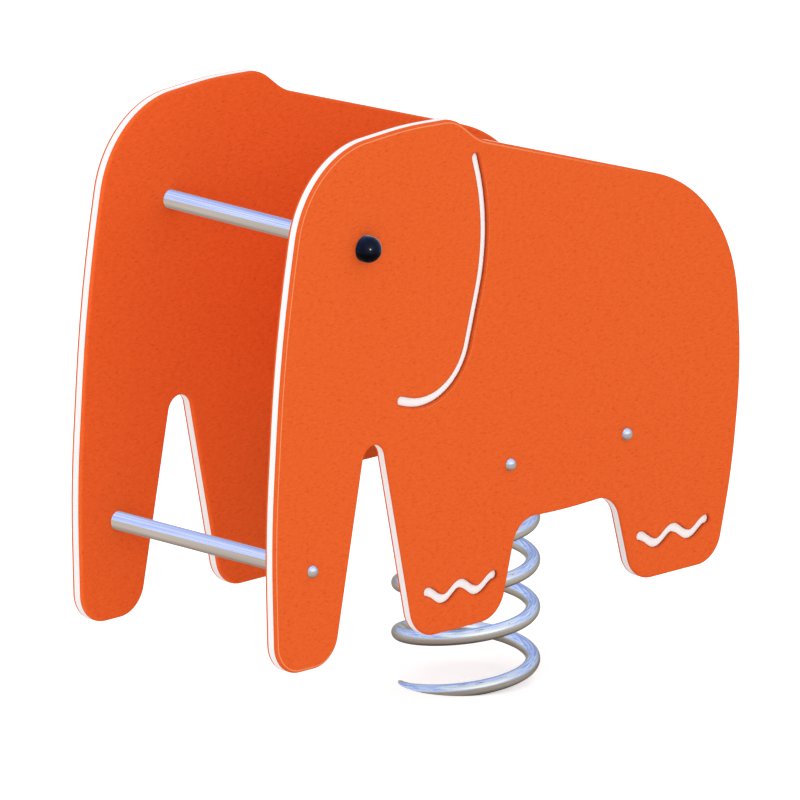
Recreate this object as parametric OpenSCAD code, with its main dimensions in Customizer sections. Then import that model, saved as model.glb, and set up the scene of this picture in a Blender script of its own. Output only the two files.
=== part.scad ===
// Spring rider: two elephant-shaped side panels on one coil spring, with a seat board, a handlebar and a footrest.
// The origin is the centre of the base plate's underside, on the spring's axis. +Z is up, the trunk points to -Y
// and the rider's left is +X. All sizes are in millimetres.

/* [Ground fixing] */
// Height of the finished ground above the underside of the base plate
ground_depth = 60; // [52:1:110]
// Side of the square base plate
base_side = 320; // [300:5:460]
// Thickness of the base plate
base_t = 12; // [8:1:20]
// Corner radius of the base plate
base_corner_r = 20; // [5:1:26]
// Distance from each anchor hole to the edges of the base plate
anchor_edge = 30; // [24:1:40]
// Diameter of an anchor hole
anchor_hole_d = 14; // [10:1:18]

/* [Spring] */
// Outside diameter of the spring
spring_od = 200; // [180:2:220]
// Diameter of the spring wire
wire_d = 20; // [14:1:20]
// Rise of the lowest free turn
pitch_low = 80; // [76:1:95]
// Rise of the highest free turns
pitch_high = 58; // [56:1:70]
// Loss of rise from one turn to the next
pitch_drop = 6.2; // [4:0.1:9]
// Direction in which the wire leaves its lower seat, in degrees
coil_start = 110; // [0:5:355]

/* [Spring clamps] */
// Width of a clamp block along the wire
clamp_w = 30; // [24:1:34]
// Wall of a clamp over the wire
clamp_wall = 5; // [4:0.5:6]
// Wall of a clamp between the wire and each bolt
clamp_cheek = 5.5; // [4:0.5:7]
// Diameter of a clamp bolt
clamp_bolt_d = 10; // [8:1:12]
// Distance from each clamp bolt to the end of its block
clamp_edge = 10.5; // [9:0.5:14]

/* [Side panels] */
// Clear width between the two side panels
panel_gap = 346; // [320:1:400]
// Thickness of each coloured skin
skin_t = 5; // [3:0.5:6]
// Thickness of the white core
core_t = 10; // [8:0.5:16]
// Height of the head's crown above the ground
head_top = 850; // [800:1:920]
// Distance from the spring's axis to the front of the trunk
trunk_front = 553; // [530:1:600]
// Width of the trunk's tip
trunk_w = 108; // [100:1:125]
// Distance from the spring's axis to the rump
rump_back = 329; // [310:1:380]
// Width of each foot
leg_w = 158; // [140:1:175]
// Distance from the spring's axis to the back of the front foot
front_leg_y = 128; // [120:1:140]
// Slant of the legs towards the belly
leg_slant = 34; // [20:1:45]
// Radius of the feet and of the trunk's tip
foot_r = 45; // [30:1:50]
// Height of the feet above the ground
foot_z = 144; // [110:1:170]
// Height of the trunk's tip above the ground
trunk_tip_z = 141; // [100:1:170]
// Height of the belly above the ground
belly_z = 269; // [250:1:290]
// Height of the top of the gap between trunk and front leg
notch_top = 426; // [380:1:450]
// Width of the top of the gap between trunk and front leg
notch_w = 35; // [30:0.5:44]
// Distance from the front of the trunk to the middle of that gap
notch_setback = 189; // [180:1:200]

/* [Routed lines] */
// Width of the routed ear and toe lines
groove_w = 12; // [8:0.5:16]
// Height of the middle of the toe waves above the feet
toe_rise = 54; // [40:1:80]
// Height of a toe wave from its middle line
toe_wave = 7.5; // [4:0.5:12]
// Length of one toe wave
toe_pitch = 63; // [50:1:70]
// Distance of the toe waves from the middle of their foot, towards the belly
toe_shift = 4.5; // [0:0.5:8]

/* [Seat] */
// Height of the seat carrier's top above the ground
carrier_top = 375; // [365:1:400]
// Thickness of the folded seat carrier
carrier_t = 8; // [6:1:10]
// Length of the seat carrier
carrier_len = 280; // [270:1:320]
// Height of the seat carrier's side flanges below its top
carrier_drop = 45; // [42:1:70]
// Distance between the two bolts that hold each panel to the carrier
carrier_bolt_spacing = 220; // [180:1:230]
// Depth of those bolts below the carrier's top
carrier_bolt_drop = 23; // [20:1:28]
// Length of the seat board
seat_len = 400; // [380:1:440]
// Distance from the spring's axis to the seat board's front edge
seat_front = 160; // [150:1:175]
// Corner radius of the seat board
seat_corner_r = 30; // [10:1:60]
// Room between the seat board and each panel
seat_room = 1; // [0.5:0.5:4]
// Distance from each seat bolt to the nearest panel
seat_bolt_inset = 44; // [34:1:60]
// Distance from each seat bolt to the end of the carrier
seat_bolt_edge = 40; // [25:1:50]

/* [Handlebar and footrest] */
// Outside diameter of the handlebar and the footrest
bar_d = 25; // [22:0.5:32]
// Wall of the handlebar and the footrest
bar_wall = 2; // [1.5:0.5:3]
// Distance of the handlebar in front of the spring's axis
handlebar_y = 383; // [340:1:420]
// Height of the handlebar above the ground
handlebar_z = 700; // [620:1:740]
// Distance of the footrest behind the front of the trunk
footrest_setback = 71; // [50:1:90]
// Height of the footrest above the ground
footrest_z = 276; // [240:1:320]
// Length of the threaded plug in each bar end
plug_len = 30; // [25:1:50]

/* [Eye caps] */
// Diameter of an eye cap
eye_d = 36; // [32:1:46]
// Straight skirt of an eye cap below its dome
eye_skirt = 6.5; // [3:0.5:9]

/* [Bolts] */
// Diameter of the panel and seat bolts
bolt_d = 8; // [6:1:10]
// Diameter of a domed bolt head
dome_d = 16.5; // [16:0.5:20]
// Height of a domed bolt head
dome_h = 8; // [4:0.5:9]

/* [Hidden] */
$fn = 64;

// Clearances: a bolt in its hole and its thread, a bar in its socket, the wire on its seat and in its clamp,
// and a clamp over the next turn of wire
bolt_room = 0.25;
thread_room = 0.05;
bar_room = 0.15;
wire_room = 0.3;
clamp_room = 0.7;
clamp_clear = 1.5;
cut = 1;

// Colours
orange = [0.90, 0.33, 0.12];
white = [0.95, 0.95, 0.94];
black = [0.05, 0.05, 0.06];
galvanised = [0.62, 0.64, 0.66];
stainless = [0.76, 0.77, 0.79];
coated = [0.72, 0.73, 0.75];

// Panel layers, as distances from the middle plane
panel_in = panel_gap / 2;
core_in = panel_in + skin_t;
core_out = core_in + core_t;
panel_out = core_out + skin_t;
panel_t = panel_out - panel_in;

// Anchor holes, as a distance from the spring's axis both ways
anchor_reach = base_side / 2 - anchor_edge;

// Heights above the base plate's underside
carrier_top_z = ground_depth + carrier_top;
carrier_web_z = carrier_top_z - carrier_t;
carrier_bolt_z = carrier_top_z - carrier_bolt_drop;
seat_top_z = carrier_top_z + panel_t;
handlebar_top = ground_depth + handlebar_z;
footrest_top = ground_depth + footrest_z;
wire_r = wire_d / 2;
coil_r = spring_od / 2 - wire_r;
wire_low_z = base_t + wire_room + wire_r;
wire_high_z = carrier_web_z - wire_room - wire_r;

// Nuts, washers and hexagon heads in proportion to their bolt
nut_af = 1.625 * bolt_d;
nut_t = 0.8 * bolt_d;
washer_d = 2 * bolt_d;
washer_t = 0.2 * bolt_d;
clamp_head_af = 1.6 * clamp_bolt_d;
clamp_head_h = 0.64 * clamp_bolt_d;

// Each flat seat of the wire carries three clamps, spread as far as the next turn of wire leaves room for
bend_turns = 0.05;
clamp_half_turns = asin(clamp_w / 2 / coil_r) / 360;
clamp_first_turns = bend_turns + clamp_half_turns + 0.01;
clamp_depth = wire_d + clamp_room + clamp_wall + clamp_clear;
clamp_last_turns = 1 - clamp_depth / pitch_high - clamp_half_turns;
clamp_step_turns = (clamp_last_turns - clamp_first_turns) / 2;
seat_turns = clamp_last_turns + clamp_half_turns + 0.02;

// The spring's wire: a flat seat, a free helix whose pitch falls to pitch_high, and a second flat seat
coil_rise = wire_high_z - wire_low_z;
even_from = (pitch_low - pitch_high) / pitch_drop;
function steep_rise(u) = pitch_low * u - pitch_drop * u * u / 2;
function free_rise(u) = u < even_from ? steep_rise(u) : steep_rise(even_from) + pitch_high * (u - even_from);
steep_turns = (pitch_low - sqrt(max(0, pitch_low * pitch_low - 2 * pitch_drop * coil_rise))) / pitch_drop;
even_turns = even_from + (coil_rise - steep_rise(even_from)) / pitch_high;
free_turns = coil_rise < steep_rise(even_from) ? steep_turns : even_turns;
function bend_up(u, pitch) = pitch * pow(u + bend_turns, 2) / (4 * bend_turns);
function wire_rise(u) =
  u < -bend_turns ? 0
  : u < bend_turns ? bend_up(u, pitch_low)
  : u < free_turns - bend_turns ? free_rise(u)
  : u < free_turns + bend_turns ? coil_rise - bend_up(free_turns - u, pitch_high)
  : coil_rise;
function wire_angle(u) = coil_start + 360 * u;

// Rings along the wire, a little outside the true radius so that the chords straddle it
rings_per_turn = 24;
wire_sides = 12;
ring_r = coil_r * (1 + 1 / cos(180 / rings_per_turn)) / 2;
wire_turns = free_turns + 2 * seat_turns;
ring_count = ceil(wire_turns * rings_per_turn);
function ring_turn(i) = -seat_turns + wire_turns * i / ring_count;
function ring_centre(i) =
  let (u = ring_turn(i), a = wire_angle(u))
  [ring_r * cos(a), ring_r * sin(a), wire_low_z + wire_rise(u)];
function along(a) = [-sin(a), cos(a), 0];
first_end = ring_centre(0) - wire_d * along(wire_angle(-seat_turns));
last_end = ring_centre(ring_count) + wire_d * along(wire_angle(free_turns + seat_turns));
centres = concat([first_end], [for (i = [0 : ring_count]) ring_centre(i)], [last_end]);
last_ring = len(centres) - 1;
function unit(v) = v / norm(v);
function heading(i) = unit(centres[min(i + 1, last_ring)] - centres[max(i - 1, 0)]);
function ring_outward(i) =
  let (u = ring_turn(min(max(i - 1, 0), ring_count)), a = wire_angle(u), h = heading(i), o = [cos(a), sin(a), 0])
  unit(o - (o * h) * h);
wire_points = [
  for (i = [0 : last_ring])
    let (o = ring_outward(i), b = cross(heading(i), o))
    for (k = [0 : wire_sides - 1])
      let (a = 360 * k / wire_sides)
      centres[i] + wire_r * (cos(a) * o + sin(a) * b)
];
wire_faces = concat(
  [for (k = [1 : wire_sides - 2]) [0, k, k + 1]],
  [
    for (i = [0 : last_ring - 1])
      for (k = [0 : wire_sides - 1])
        let (n = (k + 1) % wire_sides, p = i * wire_sides, q = p + wire_sides)
        each [[p + k, q + k, q + n], [p + k, q + n, p + n]]
  ],
  let (e = last_ring * wire_sides)
    [for (k = [1 : wire_sides - 2]) [e, e + k + 1, e + k]]
);
half_turn = rings_per_turn / 2;
wire_gaps = [
  for (i = [0 : last_ring - half_turn])
    for (j = [i + half_turn : min(last_ring, i + 2 * rings_per_turn)])
      norm(centres[i] - centres[j]) - wire_d
];
echo("least gap between turns of the spring, mm", min(wire_gaps));

// Clamp blocks and their bolts
clamp_groove_r = wire_r + clamp_room;
clamp_h = wire_room + wire_d + clamp_room + clamp_wall;
clamp_bolt_reach = clamp_groove_r + clamp_cheek + bolt_room + clamp_bolt_d / 2;
clamp_len = 2 * (clamp_bolt_reach + clamp_edge);
clamp_bolts_at = [coil_r - clamp_bolt_reach, coil_r + clamp_bolt_reach];
function lower_clamp_angle(i) = wire_angle(-clamp_first_turns - i * clamp_step_turns);
function upper_clamp_angle(i) = wire_angle(free_turns + clamp_first_turns + i * clamp_step_turns);

// Outlines: a closed polygon or an open path whose corners [y, z, radius] are rounded with tangent arcs
arc_step = 6;
function flat2(p) = [p[0], p[1]];
function half_angle(a, b, c) = acos(unit(flat2(a) - flat2(b)) * unit(flat2(c) - flat2(b))) / 2;
function tangent_len(a, b, c) = b[2] == 0 ? 0 : b[2] / tan(half_angle(a, b, c));

// Corners whose radii are limited by their sides: two neighbours share a side that is too short for both
function fitted(p) =
  let (
    n = len(p),
    t = [for (i = [0 : n - 1]) tangent_len(p[(i + n - 1) % n], p[i], p[(i + 1) % n])],
    fit = [
      for (i = [0 : n - 1])
        let (j = (i + 1) % n)
        min(1, 0.99 * norm(flat2(p[j]) - flat2(p[i])) / max(t[i] + t[j], cut))
    ]
  )
  [for (i = [0 : n - 1]) [p[i][0], p[i][1], p[i][2] * min(fit[(i + n - 1) % n], fit[i])]];
function rounded_corner(a, b, c) =
  let (
    u = unit(flat2(a) - flat2(b)),
    v = unit(flat2(c) - flat2(b)),
    half = half_angle(a, b, c),
    r = b[2],
    centre = flat2(b) + r / sin(half) * unit(u + v),
    start = flat2(b) + r / tan(half) * u - centre,
    turn = (u[0] * v[1] - u[1] * v[0] > 0 ? -1 : 1) * (180 - 2 * half),
    steps = ceil(abs(turn) / arc_step) + 1
  )
  [
    for (i = [0 : steps])
      let (t = turn * i / steps)
      centre + [start[0] * cos(t) - start[1] * sin(t), start[0] * sin(t) + start[1] * cos(t)]
  ];
function rounded_polygon(corners) =
  let (p = fitted(corners), n = len(p))
  [for (i = [0 : n - 1]) each rounded_corner(p[(i + n - 1) % n], p[i], p[(i + 1) % n])];
function rounded_path(corners) =
  let (p = fitted(corners), e = len(p) - 1)
  concat(
    [flat2(p[0])],
    [for (i = [1 : e - 1]) each rounded_corner(p[i - 1], p[i], p[i + 1])],
    [flat2(p[e])]
  );

// A path's outline at a given width, with round ends
end_steps = 8;
function side_of(p, i) =
  let (d = unit(p[min(i + 1, len(p) - 1)] - p[max(i - 1, 0)]))
  [-d[1], d[0]];
function round_end(p, n, r) =
  [
    for (k = [1 : end_steps - 1])
      let (t = -180 * k / end_steps)
      p + r * [n[0] * cos(t) - n[1] * sin(t), n[0] * sin(t) + n[1] * cos(t)]
  ];
function stroke(p, w) =
  let (e = len(p) - 1, r = w / 2)
  concat(
    [for (i = [0 : e]) p[i] + r * side_of(p, i)],
    round_end(p[e], side_of(p, e), r),
    [for (i = [e : -1 : 0]) p[i] - r * side_of(p, i)],
    round_end(p[0], -side_of(p, 0), r)
  );

// Side panel outline, clockwise from the trunk's tip, with heights above the ground
trunk_tip_y = 6 - trunk_front;
notch_y = notch_setback - trunk_front;
back_slope = -0.326;
nape_y = -167;
nape_z = head_top - 40;
rump_y = rump_back - 18;
rear_foot_y = rump_back - 46;
arch_z = belly_z + 4;
panel_corners = [
  [trunk_tip_y, trunk_tip_z, foot_r],
  [-trunk_front, trunk_tip_z + 190, 1500],
  [-trunk_front + 18.5, head_top - 250, 2000],
  [-trunk_front + 65, head_top - 9, 141],
  [-300, head_top + 1, 600],
  [-213, head_top - 4, 65],
  [nape_y, nape_z, 90],
  [rump_y, nape_z + back_slope * (rump_y - nape_y), 222],
  [rump_back + 2, foot_z + 268, 670],
  [rump_back - 16, foot_z + 122, 800],
  [rear_foot_y, foot_z, foot_r],
  [rear_foot_y - leg_w, foot_z, foot_r],
  [rear_foot_y - leg_w - leg_slant, arch_z, 41],
  [0, belly_z, 1100],
  [leg_slant - front_leg_y, arch_z, 40],
  [-front_leg_y, foot_z, foot_r],
  [-front_leg_y - leg_w, foot_z, foot_r],
  [notch_y + notch_w / 2, notch_top, 21],
  [notch_y - notch_w / 2, notch_top, 21],
  [trunk_tip_y + trunk_w, trunk_tip_z, foot_r]
];
ear_corners = [
  [-175, head_top - 64, 0],
  [-147, head_top - 165, 310],
  [-214, notch_top + 21, 87],
  [-315, notch_top + 52, 0]
];

// Toe waves: two waves on each foot, starting and ending on a crest
toe_waves = 2;
toe_steps = 48;
toe_z = foot_z + toe_rise;
front_toes_y = -front_leg_y - leg_w / 2 + toe_shift;
rear_toes_y = rear_foot_y - leg_w / 2 - toe_shift;
function toe_path(middle) =
  [
    for (i = [0 : toe_steps])
      let (y = toe_pitch * toe_waves * (i / toe_steps - 0.5))
      [middle + y, toe_z + toe_wave * cos(360 * y / toe_pitch)]
  ];

// Cylinder along X from x0 to x1
module bar_x(r, x0, x1) {
  translate([x0, 0, 0])
    rotate([0, 90, 0])
      cylinder(r = r, h = x1 - x0);
}

// Flat shape drawn as [y, z] above the ground, standing from x0 to x1
module slab_x(points, x0, x1) {
  translate([x0, 0, ground_depth])
    rotate([90, 0, 90])
      linear_extrude(height = x1 - x0)
        polygon(points);
}

// Rectangle with rounded corners, centred on x, from y0 to y1
module rounded_plate(w, y0, y1, t, r) {
  corners = [[-w / 2, y0, r], [-w / 2, y1, r], [w / 2, y1, r], [w / 2, y0, r]];
  linear_extrude(height = t)
    polygon(rounded_polygon(corners));
}

// Places of what crosses a panel, as [y, z]
carrier_bolt_places = [for (s = [-1, 1]) [s * carrier_bolt_spacing / 2, carrier_bolt_z]];
handlebar_place = [-handlebar_y, handlebar_top];
footrest_place = [footrest_setback - trunk_front, footrest_top];
bar_places = [handlebar_place, footrest_place];
module at_place(p) {
  translate([0, p[0], p[1]])
    children();
}

// One layer of the left panel with its bolt holes, and sockets for the bars where they reach into it
module panel_layer(x0, x1, grooved, socketed) {
  difference() {
    slab_x(rounded_polygon(panel_corners), x0, x1);
    if (grooved) {
      slab_x(stroke(rounded_path(ear_corners), groove_w), x0 - cut, x1 + cut);
      slab_x(stroke(toe_path(front_toes_y), groove_w), x0 - cut, x1 + cut);
      slab_x(stroke(toe_path(rear_toes_y), groove_w), x0 - cut, x1 + cut);
    }
    for (p = concat(carrier_bolt_places, bar_places))
      at_place(p)
        bar_x(bolt_d / 2 + bolt_room, x0 - cut, x1 + cut);
    if (socketed)
      for (p = bar_places)
        at_place(p)
          bar_x(bar_d / 2 + bar_room, x0 - cut, x1 + cut);
  }
}
module left_inner_skin() {
  panel_layer(panel_in, core_in, false, true);
}
module left_core() {
  panel_layer(core_in, core_out, false, false);
}
module left_outer_skin() {
  panel_layer(core_out, panel_out, true, false);
}
module on_side(side) {
  mirror([side < 0 ? 1 : 0, 0, 0])
    children();
}

// Domed bolt along X: its head stands on the face at x0 and its shank runs inwards for len
dome_ball_r = (dome_d * dome_d / 4 + dome_h * dome_h) / (2 * dome_h);
module dome_bolt(x0, len) {
  translate([x0, 0, 0])
    rotate([0, 90, 0])
      rotate_extrude() {
        intersection() {
          translate([0, dome_h - dome_ball_r])
            circle(r = dome_ball_r);
          square([dome_d, dome_h + cut]);
        }
        translate([0, -len])
          square([bolt_d / 2, len + cut]);
      }
}

// Hexagon prism along X, and the nut made from it
module hex_x(af, x0, x1) {
  translate([x0, 0, 0])
    rotate([0, 90, 0])
      cylinder(d = af / cos(30), h = x1 - x0, $fn = 6);
}
module nut_x(x0) {
  difference() {
    hex_x(nut_af, x0, x0 + nut_t);
    bar_x(bolt_d / 2 + thread_room, x0 - cut, x0 + nut_t + cut);
  }
}
module washer_x(d, x0) {
  difference() {
    bar_x(d / 2, x0, x0 + washer_t);
    bar_x(bolt_d / 2 + bolt_room, x0 - cut, x0 + washer_t + cut);
  }
}

// Turns a piece that runs along X so that it runs along Z
module upright() {
  rotate([0, -90, 0])
    children();
}

// Ground fixing
module base_plate() {
  color(galvanised)
    difference() {
      rounded_plate(base_side, -base_side / 2, base_side / 2, base_t, base_corner_r);
      for (x = [-1, 1], y = [-1, 1])
        translate([x * anchor_reach, y * anchor_reach, -cut])
          cylinder(d = anchor_hole_d, h = base_t + 2 * cut);
      for (i = [0 : 2], r = clamp_bolts_at)
        rotate([0, 0, lower_clamp_angle(i)])
          translate([r, 0, -cut])
            cylinder(r = clamp_bolt_d / 2 + thread_room, h = base_t + 2 * cut);
    }
}

// Clamp block over a flat seat of wire, standing on z = 0 and reaching out along +X
module clamp_block() {
  wire_z = wire_room + wire_r;
  difference() {
    translate([coil_r - clamp_len / 2, -clamp_w / 2, 0])
      cube([clamp_len, clamp_w, clamp_h]);
    rotate_extrude() {
      translate([coil_r, wire_z])
        circle(r = clamp_groove_r);
      translate([coil_r - clamp_groove_r, -cut])
        square([2 * clamp_groove_r, wire_z + cut]);
    }
    for (r = clamp_bolts_at)
      translate([r, 0, -cut])
        cylinder(r = clamp_bolt_d / 2 + bolt_room, h = clamp_h + 2 * cut);
  }
}
module clamp_bolt_pair(plate_t) {
  for (r = clamp_bolts_at)
    translate([r, 0, 0]) {
      translate([0, 0, -plate_t + bolt_room])
        cylinder(d = clamp_bolt_d, h = plate_t + clamp_h);
      translate([0, 0, clamp_h])
        cylinder(d = clamp_head_af / cos(30), h = clamp_head_h, $fn = 6);
    }
}
module at_lower_clamp(i) {
  translate([0, 0, base_t])
    rotate([0, 0, lower_clamp_angle(i)])
      children();
}
module at_upper_clamp(i) {
  translate([0, 0, carrier_web_z])
    rotate([0, 0, upper_clamp_angle(i)])
      mirror([0, 0, 1])
        children();
}
module lower_clamp(i) {
  color(galvanised)
    at_lower_clamp(i)
      clamp_block();
}
module upper_clamp(i) {
  color(galvanised)
    at_upper_clamp(i)
      clamp_block();
}
module lower_clamp_bolts() {
  color(stainless)
    for (i = [0 : 2])
      at_lower_clamp(i)
        clamp_bolt_pair(base_t);
}
module upper_clamp_bolts() {
  color(stainless)
    for (i = [0 : 2])
      at_upper_clamp(i)
        clamp_bolt_pair(carrier_t);
}

// Spring
module spring() {
  color(coated)
    polyhedron(points = wire_points, faces = wire_faces, convexity = 12);
}

// Seat carrier: a folded channel, open below, with its flanges against the panels
seat_bolt_places = [
  for (x = [-1, 1], y = [-1, 1])
    [x * (panel_in - seat_bolt_inset), y * (carrier_len / 2 - seat_bolt_edge)]
];
module seat_carrier() {
  color(galvanised)
    difference() {
      translate([-panel_in, -carrier_len / 2, carrier_top_z - carrier_drop])
        cube([panel_gap, carrier_len, carrier_drop]);
      translate([-panel_in + carrier_t, -carrier_len / 2 - cut, carrier_top_z - carrier_drop - cut])
        cube([panel_gap - 2 * carrier_t, carrier_len + 2 * cut, carrier_drop - carrier_t + cut]);
      for (p = carrier_bolt_places)
        at_place(p)
          bar_x(bolt_d / 2 + bolt_room, -panel_in - cut, panel_in + cut);
      for (p = seat_bolt_places)
        translate([p[0], p[1], carrier_web_z - cut])
          cylinder(r = bolt_d / 2 + bolt_room, h = carrier_t + 2 * cut);
      for (i = [0 : 2])
        at_upper_clamp(i)
          for (r = clamp_bolts_at)
            translate([r, 0, -carrier_t - cut])
              cylinder(r = clamp_bolt_d / 2 + thread_room, h = carrier_t + 2 * cut);
    }
}

// Seat board: the same layered sheet as the panels, laid flat
module seat_layer(z0, t) {
  difference() {
    translate([0, 0, z0])
      rounded_plate(panel_gap - 2 * seat_room, -seat_front, seat_len - seat_front, t, seat_corner_r);
    for (p = seat_bolt_places)
      translate([p[0], p[1], z0 - cut])
        cylinder(r = bolt_d / 2 + bolt_room, h = t + 2 * cut);
  }
}
module seat_bottom_skin() {
  color(orange)
    seat_layer(carrier_top_z, skin_t);
}
module seat_core() {
  color(white)
    seat_layer(carrier_top_z + skin_t, core_t);
}
module seat_top_skin() {
  color(orange)
    seat_layer(carrier_top_z + skin_t + core_t, skin_t);
}
seat_bolt_len = panel_t + carrier_t + nut_t + 3;
module seat_bolts() {
  color(stainless)
    for (p = seat_bolt_places)
      translate([p[0], p[1], 0])
        upright()
          dome_bolt(seat_top_z, seat_bolt_len);
}
module seat_nuts() {
  color(stainless)
    for (p = seat_bolt_places)
      translate([p[0], p[1], 0])
        upright()
          nut_x(carrier_web_z - nut_t);
}

// Side panels
module panel_inner_skin(side) {
  color(orange)
    on_side(side)
      left_inner_skin();
}
module panel_core(side) {
  color(white)
    on_side(side)
      left_core();
}
module panel_outer_skin(side) {
  color(orange)
    on_side(side)
      left_outer_skin();
}

// Bolts, washers and nuts that hold the panels to the carrier
carrier_nut_x = panel_in - carrier_t - washer_t - nut_t;
carrier_bolt_len = panel_out - carrier_nut_x + 3;
module at_carrier_bolts() {
  for (side = [-1, 1], p = carrier_bolt_places)
    on_side(side)
      at_place(p)
        children();
}
module carrier_bolts() {
  color(stainless)
    at_carrier_bolts()
      dome_bolt(panel_out, carrier_bolt_len);
}
module carrier_washers() {
  color(stainless)
    at_carrier_bolts()
      washer_x(washer_d, panel_in - carrier_t - washer_t);
}
module carrier_nuts() {
  color(stainless)
    at_carrier_bolts()
      nut_x(carrier_nut_x);
}

// Bars between the panels, seated in the inner skins, with a threaded plug in each end
bar_inner_r = bar_d / 2 - bar_wall;
module bar_tube(p) {
  color(stainless)
    at_place(p)
      difference() {
        bar_x(bar_d / 2, -core_in, core_in);
        bar_x(bar_inner_r, -core_in - cut, core_in + cut);
      }
}
module bar_plugs(p) {
  color(galvanised)
    for (side = [-1, 1])
      on_side(side)
        at_place(p)
          difference() {
            bar_x(bar_inner_r - thread_room, core_in - plug_len, core_in);
            bar_x(bolt_d / 2 + thread_room, core_in - plug_len - cut, core_in + cut);
          }
}
plug_grip = 0.75 * plug_len;
bar_bolt_len = panel_out - core_in + plug_grip;
module footrest_bolts() {
  color(stainless)
    for (side = [-1, 1])
      on_side(side)
        at_place(footrest_place)
          dome_bolt(panel_out, bar_bolt_len);
}

// Handlebar bolts have hexagon heads on wide washers, which the eye caps cover
eye_washer_d = 1.4 * washer_d;
eye_head_h = 0.66 * bolt_d;
eye_head_x = panel_out + washer_t;
module handlebar_bolts() {
  color(stainless)
    for (side = [-1, 1])
      on_side(side)
        at_place(handlebar_place) {
          hex_x(nut_af, eye_head_x, eye_head_x + eye_head_h);
          bar_x(bolt_d / 2, panel_out - bar_bolt_len, eye_head_x + cut);
        }
}
module handlebar_washers() {
  color(stainless)
    for (side = [-1, 1])
      on_side(side)
        at_place(handlebar_place)
          washer_x(eye_washer_d, panel_out);
}

// Eye cap: a dome on a short skirt, hollow over the bolt head and clipped on the washer's rim
module eye_cap(side) {
  color(black)
    on_side(side)
      at_place(handlebar_place)
        difference() {
          union() {
            bar_x(eye_d / 2, panel_out, panel_out + eye_skirt);
            intersection() {
              translate([panel_out + eye_skirt, 0, 0])
                sphere(d = eye_d);
              bar_x(eye_d, panel_out + eye_skirt, panel_out + eye_skirt + eye_d);
            }
          }
          bar_x(eye_washer_d / 2 + bolt_room, panel_out - cut, eye_head_x + eye_head_h + 2);
        }
}

base_plate();
for (i = [0 : 2])
  lower_clamp(i);
lower_clamp_bolts();
spring();
for (i = [0 : 2])
  upper_clamp(i);
upper_clamp_bolts();
seat_carrier();
seat_bottom_skin();
seat_core();
seat_top_skin();
seat_bolts();
seat_nuts();
panel_inner_skin(1);  // left_panel_inner_skin
panel_core(1);  // left_panel_core
panel_outer_skin(1);  // left_panel_outer_skin
panel_inner_skin(-1);  // right_panel_inner_skin
panel_core(-1);  // right_panel_core
panel_outer_skin(-1);  // right_panel_outer_skin
carrier_bolts();
carrier_washers();
carrier_nuts();
bar_tube(handlebar_place);  // handlebar_tube
bar_plugs(handlebar_place);  // handlebar_plugs
handlebar_bolts();
handlebar_washers();
eye_cap(1);  // eye_cap_left
eye_cap(-1);  // eye_cap_right
bar_tube(footrest_place);  // footrest_tube
bar_plugs(footrest_place);  // footrest_plugs
footrest_bolts();
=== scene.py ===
"""Spring rider: an elephant-shaped playground rider on one coil spring, dressed for rendering.

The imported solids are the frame. Sheets, bars, domed bolts, eye caps, carrier, base plate and
spring get smooth meshes with rounded edges in the same places. Clamps, plugs, nuts, washers and
hexagon bolts keep their solids with softened edges. Sizes are in mm where nothing else is said.
"""
import logging
import math
from abc import ABC, abstractmethod
from collections.abc import Callable
from dataclasses import dataclass, field, replace
from enum import Enum
from functools import cache

import bpy
import numpy as np
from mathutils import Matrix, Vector
from mathutils.geometry import tessellate_polygon


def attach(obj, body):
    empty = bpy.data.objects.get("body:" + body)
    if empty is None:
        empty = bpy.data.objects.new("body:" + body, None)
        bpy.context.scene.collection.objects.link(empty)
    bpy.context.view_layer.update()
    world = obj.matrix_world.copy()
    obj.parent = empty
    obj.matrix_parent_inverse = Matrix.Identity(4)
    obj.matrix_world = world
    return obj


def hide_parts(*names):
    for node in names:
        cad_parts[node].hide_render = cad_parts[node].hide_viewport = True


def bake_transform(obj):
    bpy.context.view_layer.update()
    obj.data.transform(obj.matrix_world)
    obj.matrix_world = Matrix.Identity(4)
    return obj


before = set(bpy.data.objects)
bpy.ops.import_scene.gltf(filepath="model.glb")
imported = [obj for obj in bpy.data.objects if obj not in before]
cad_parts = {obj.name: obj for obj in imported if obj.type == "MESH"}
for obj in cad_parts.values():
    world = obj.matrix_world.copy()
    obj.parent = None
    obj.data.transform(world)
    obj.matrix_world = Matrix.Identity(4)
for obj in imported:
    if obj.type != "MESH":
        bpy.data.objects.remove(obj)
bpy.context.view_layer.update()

LOG = logging.getLogger("spring_rider")
MM = 0.001
GROUND = 60.0  # the finished ground, above the base plate's underside
ALONG = "Along"  # the map along a tube or wire
GROOVE_SHADE = "Cut"  # marks painted shade: the grooves' lips and walls darken, more so the deeper they lie
PAINTED_LIGHT = "Rub"  # marks painted light: pale highlight lines along edges and paler groove floors
BLOCK_EDGE, BOLT_EDGE, SMALL_EDGE = 1.0, 0.4, 0.3  # widths of softened edges

Point = tuple[float, float]
Colour = Corner = Direction = tuple[float, float, float]
Place = tuple[Vector, Vector]
Socket = bpy.types.NodeSocket
Marker = Callable[[np.ndarray, np.ndarray], np.ndarray]


class Slot(Enum):
    """Material slots of the record that a piece takes its finish from."""

    ORANGE = "orange_sheet"
    WHITE = "white_core"
    BAR = "bar_steel"
    FASTENER = "fastener_steel"
    SPRING = "spring_steel"
    ZINC = "galvanised"
    EYE = "eye_black"


# Pieces of these slots show in the polish of others.
MIRRORED = {Slot.BAR, Slot.FASTENER, Slot.EYE}


class Body(Enum):
    """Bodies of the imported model."""

    BASE = "ground_base"
    COIL = "spring_coil"
    RIDER = "rider"


class Side(Enum):
    """The two side panels, with the sign of their X."""

    LEFT = 1
    RIGHT = -1


# Shader node groups


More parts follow.
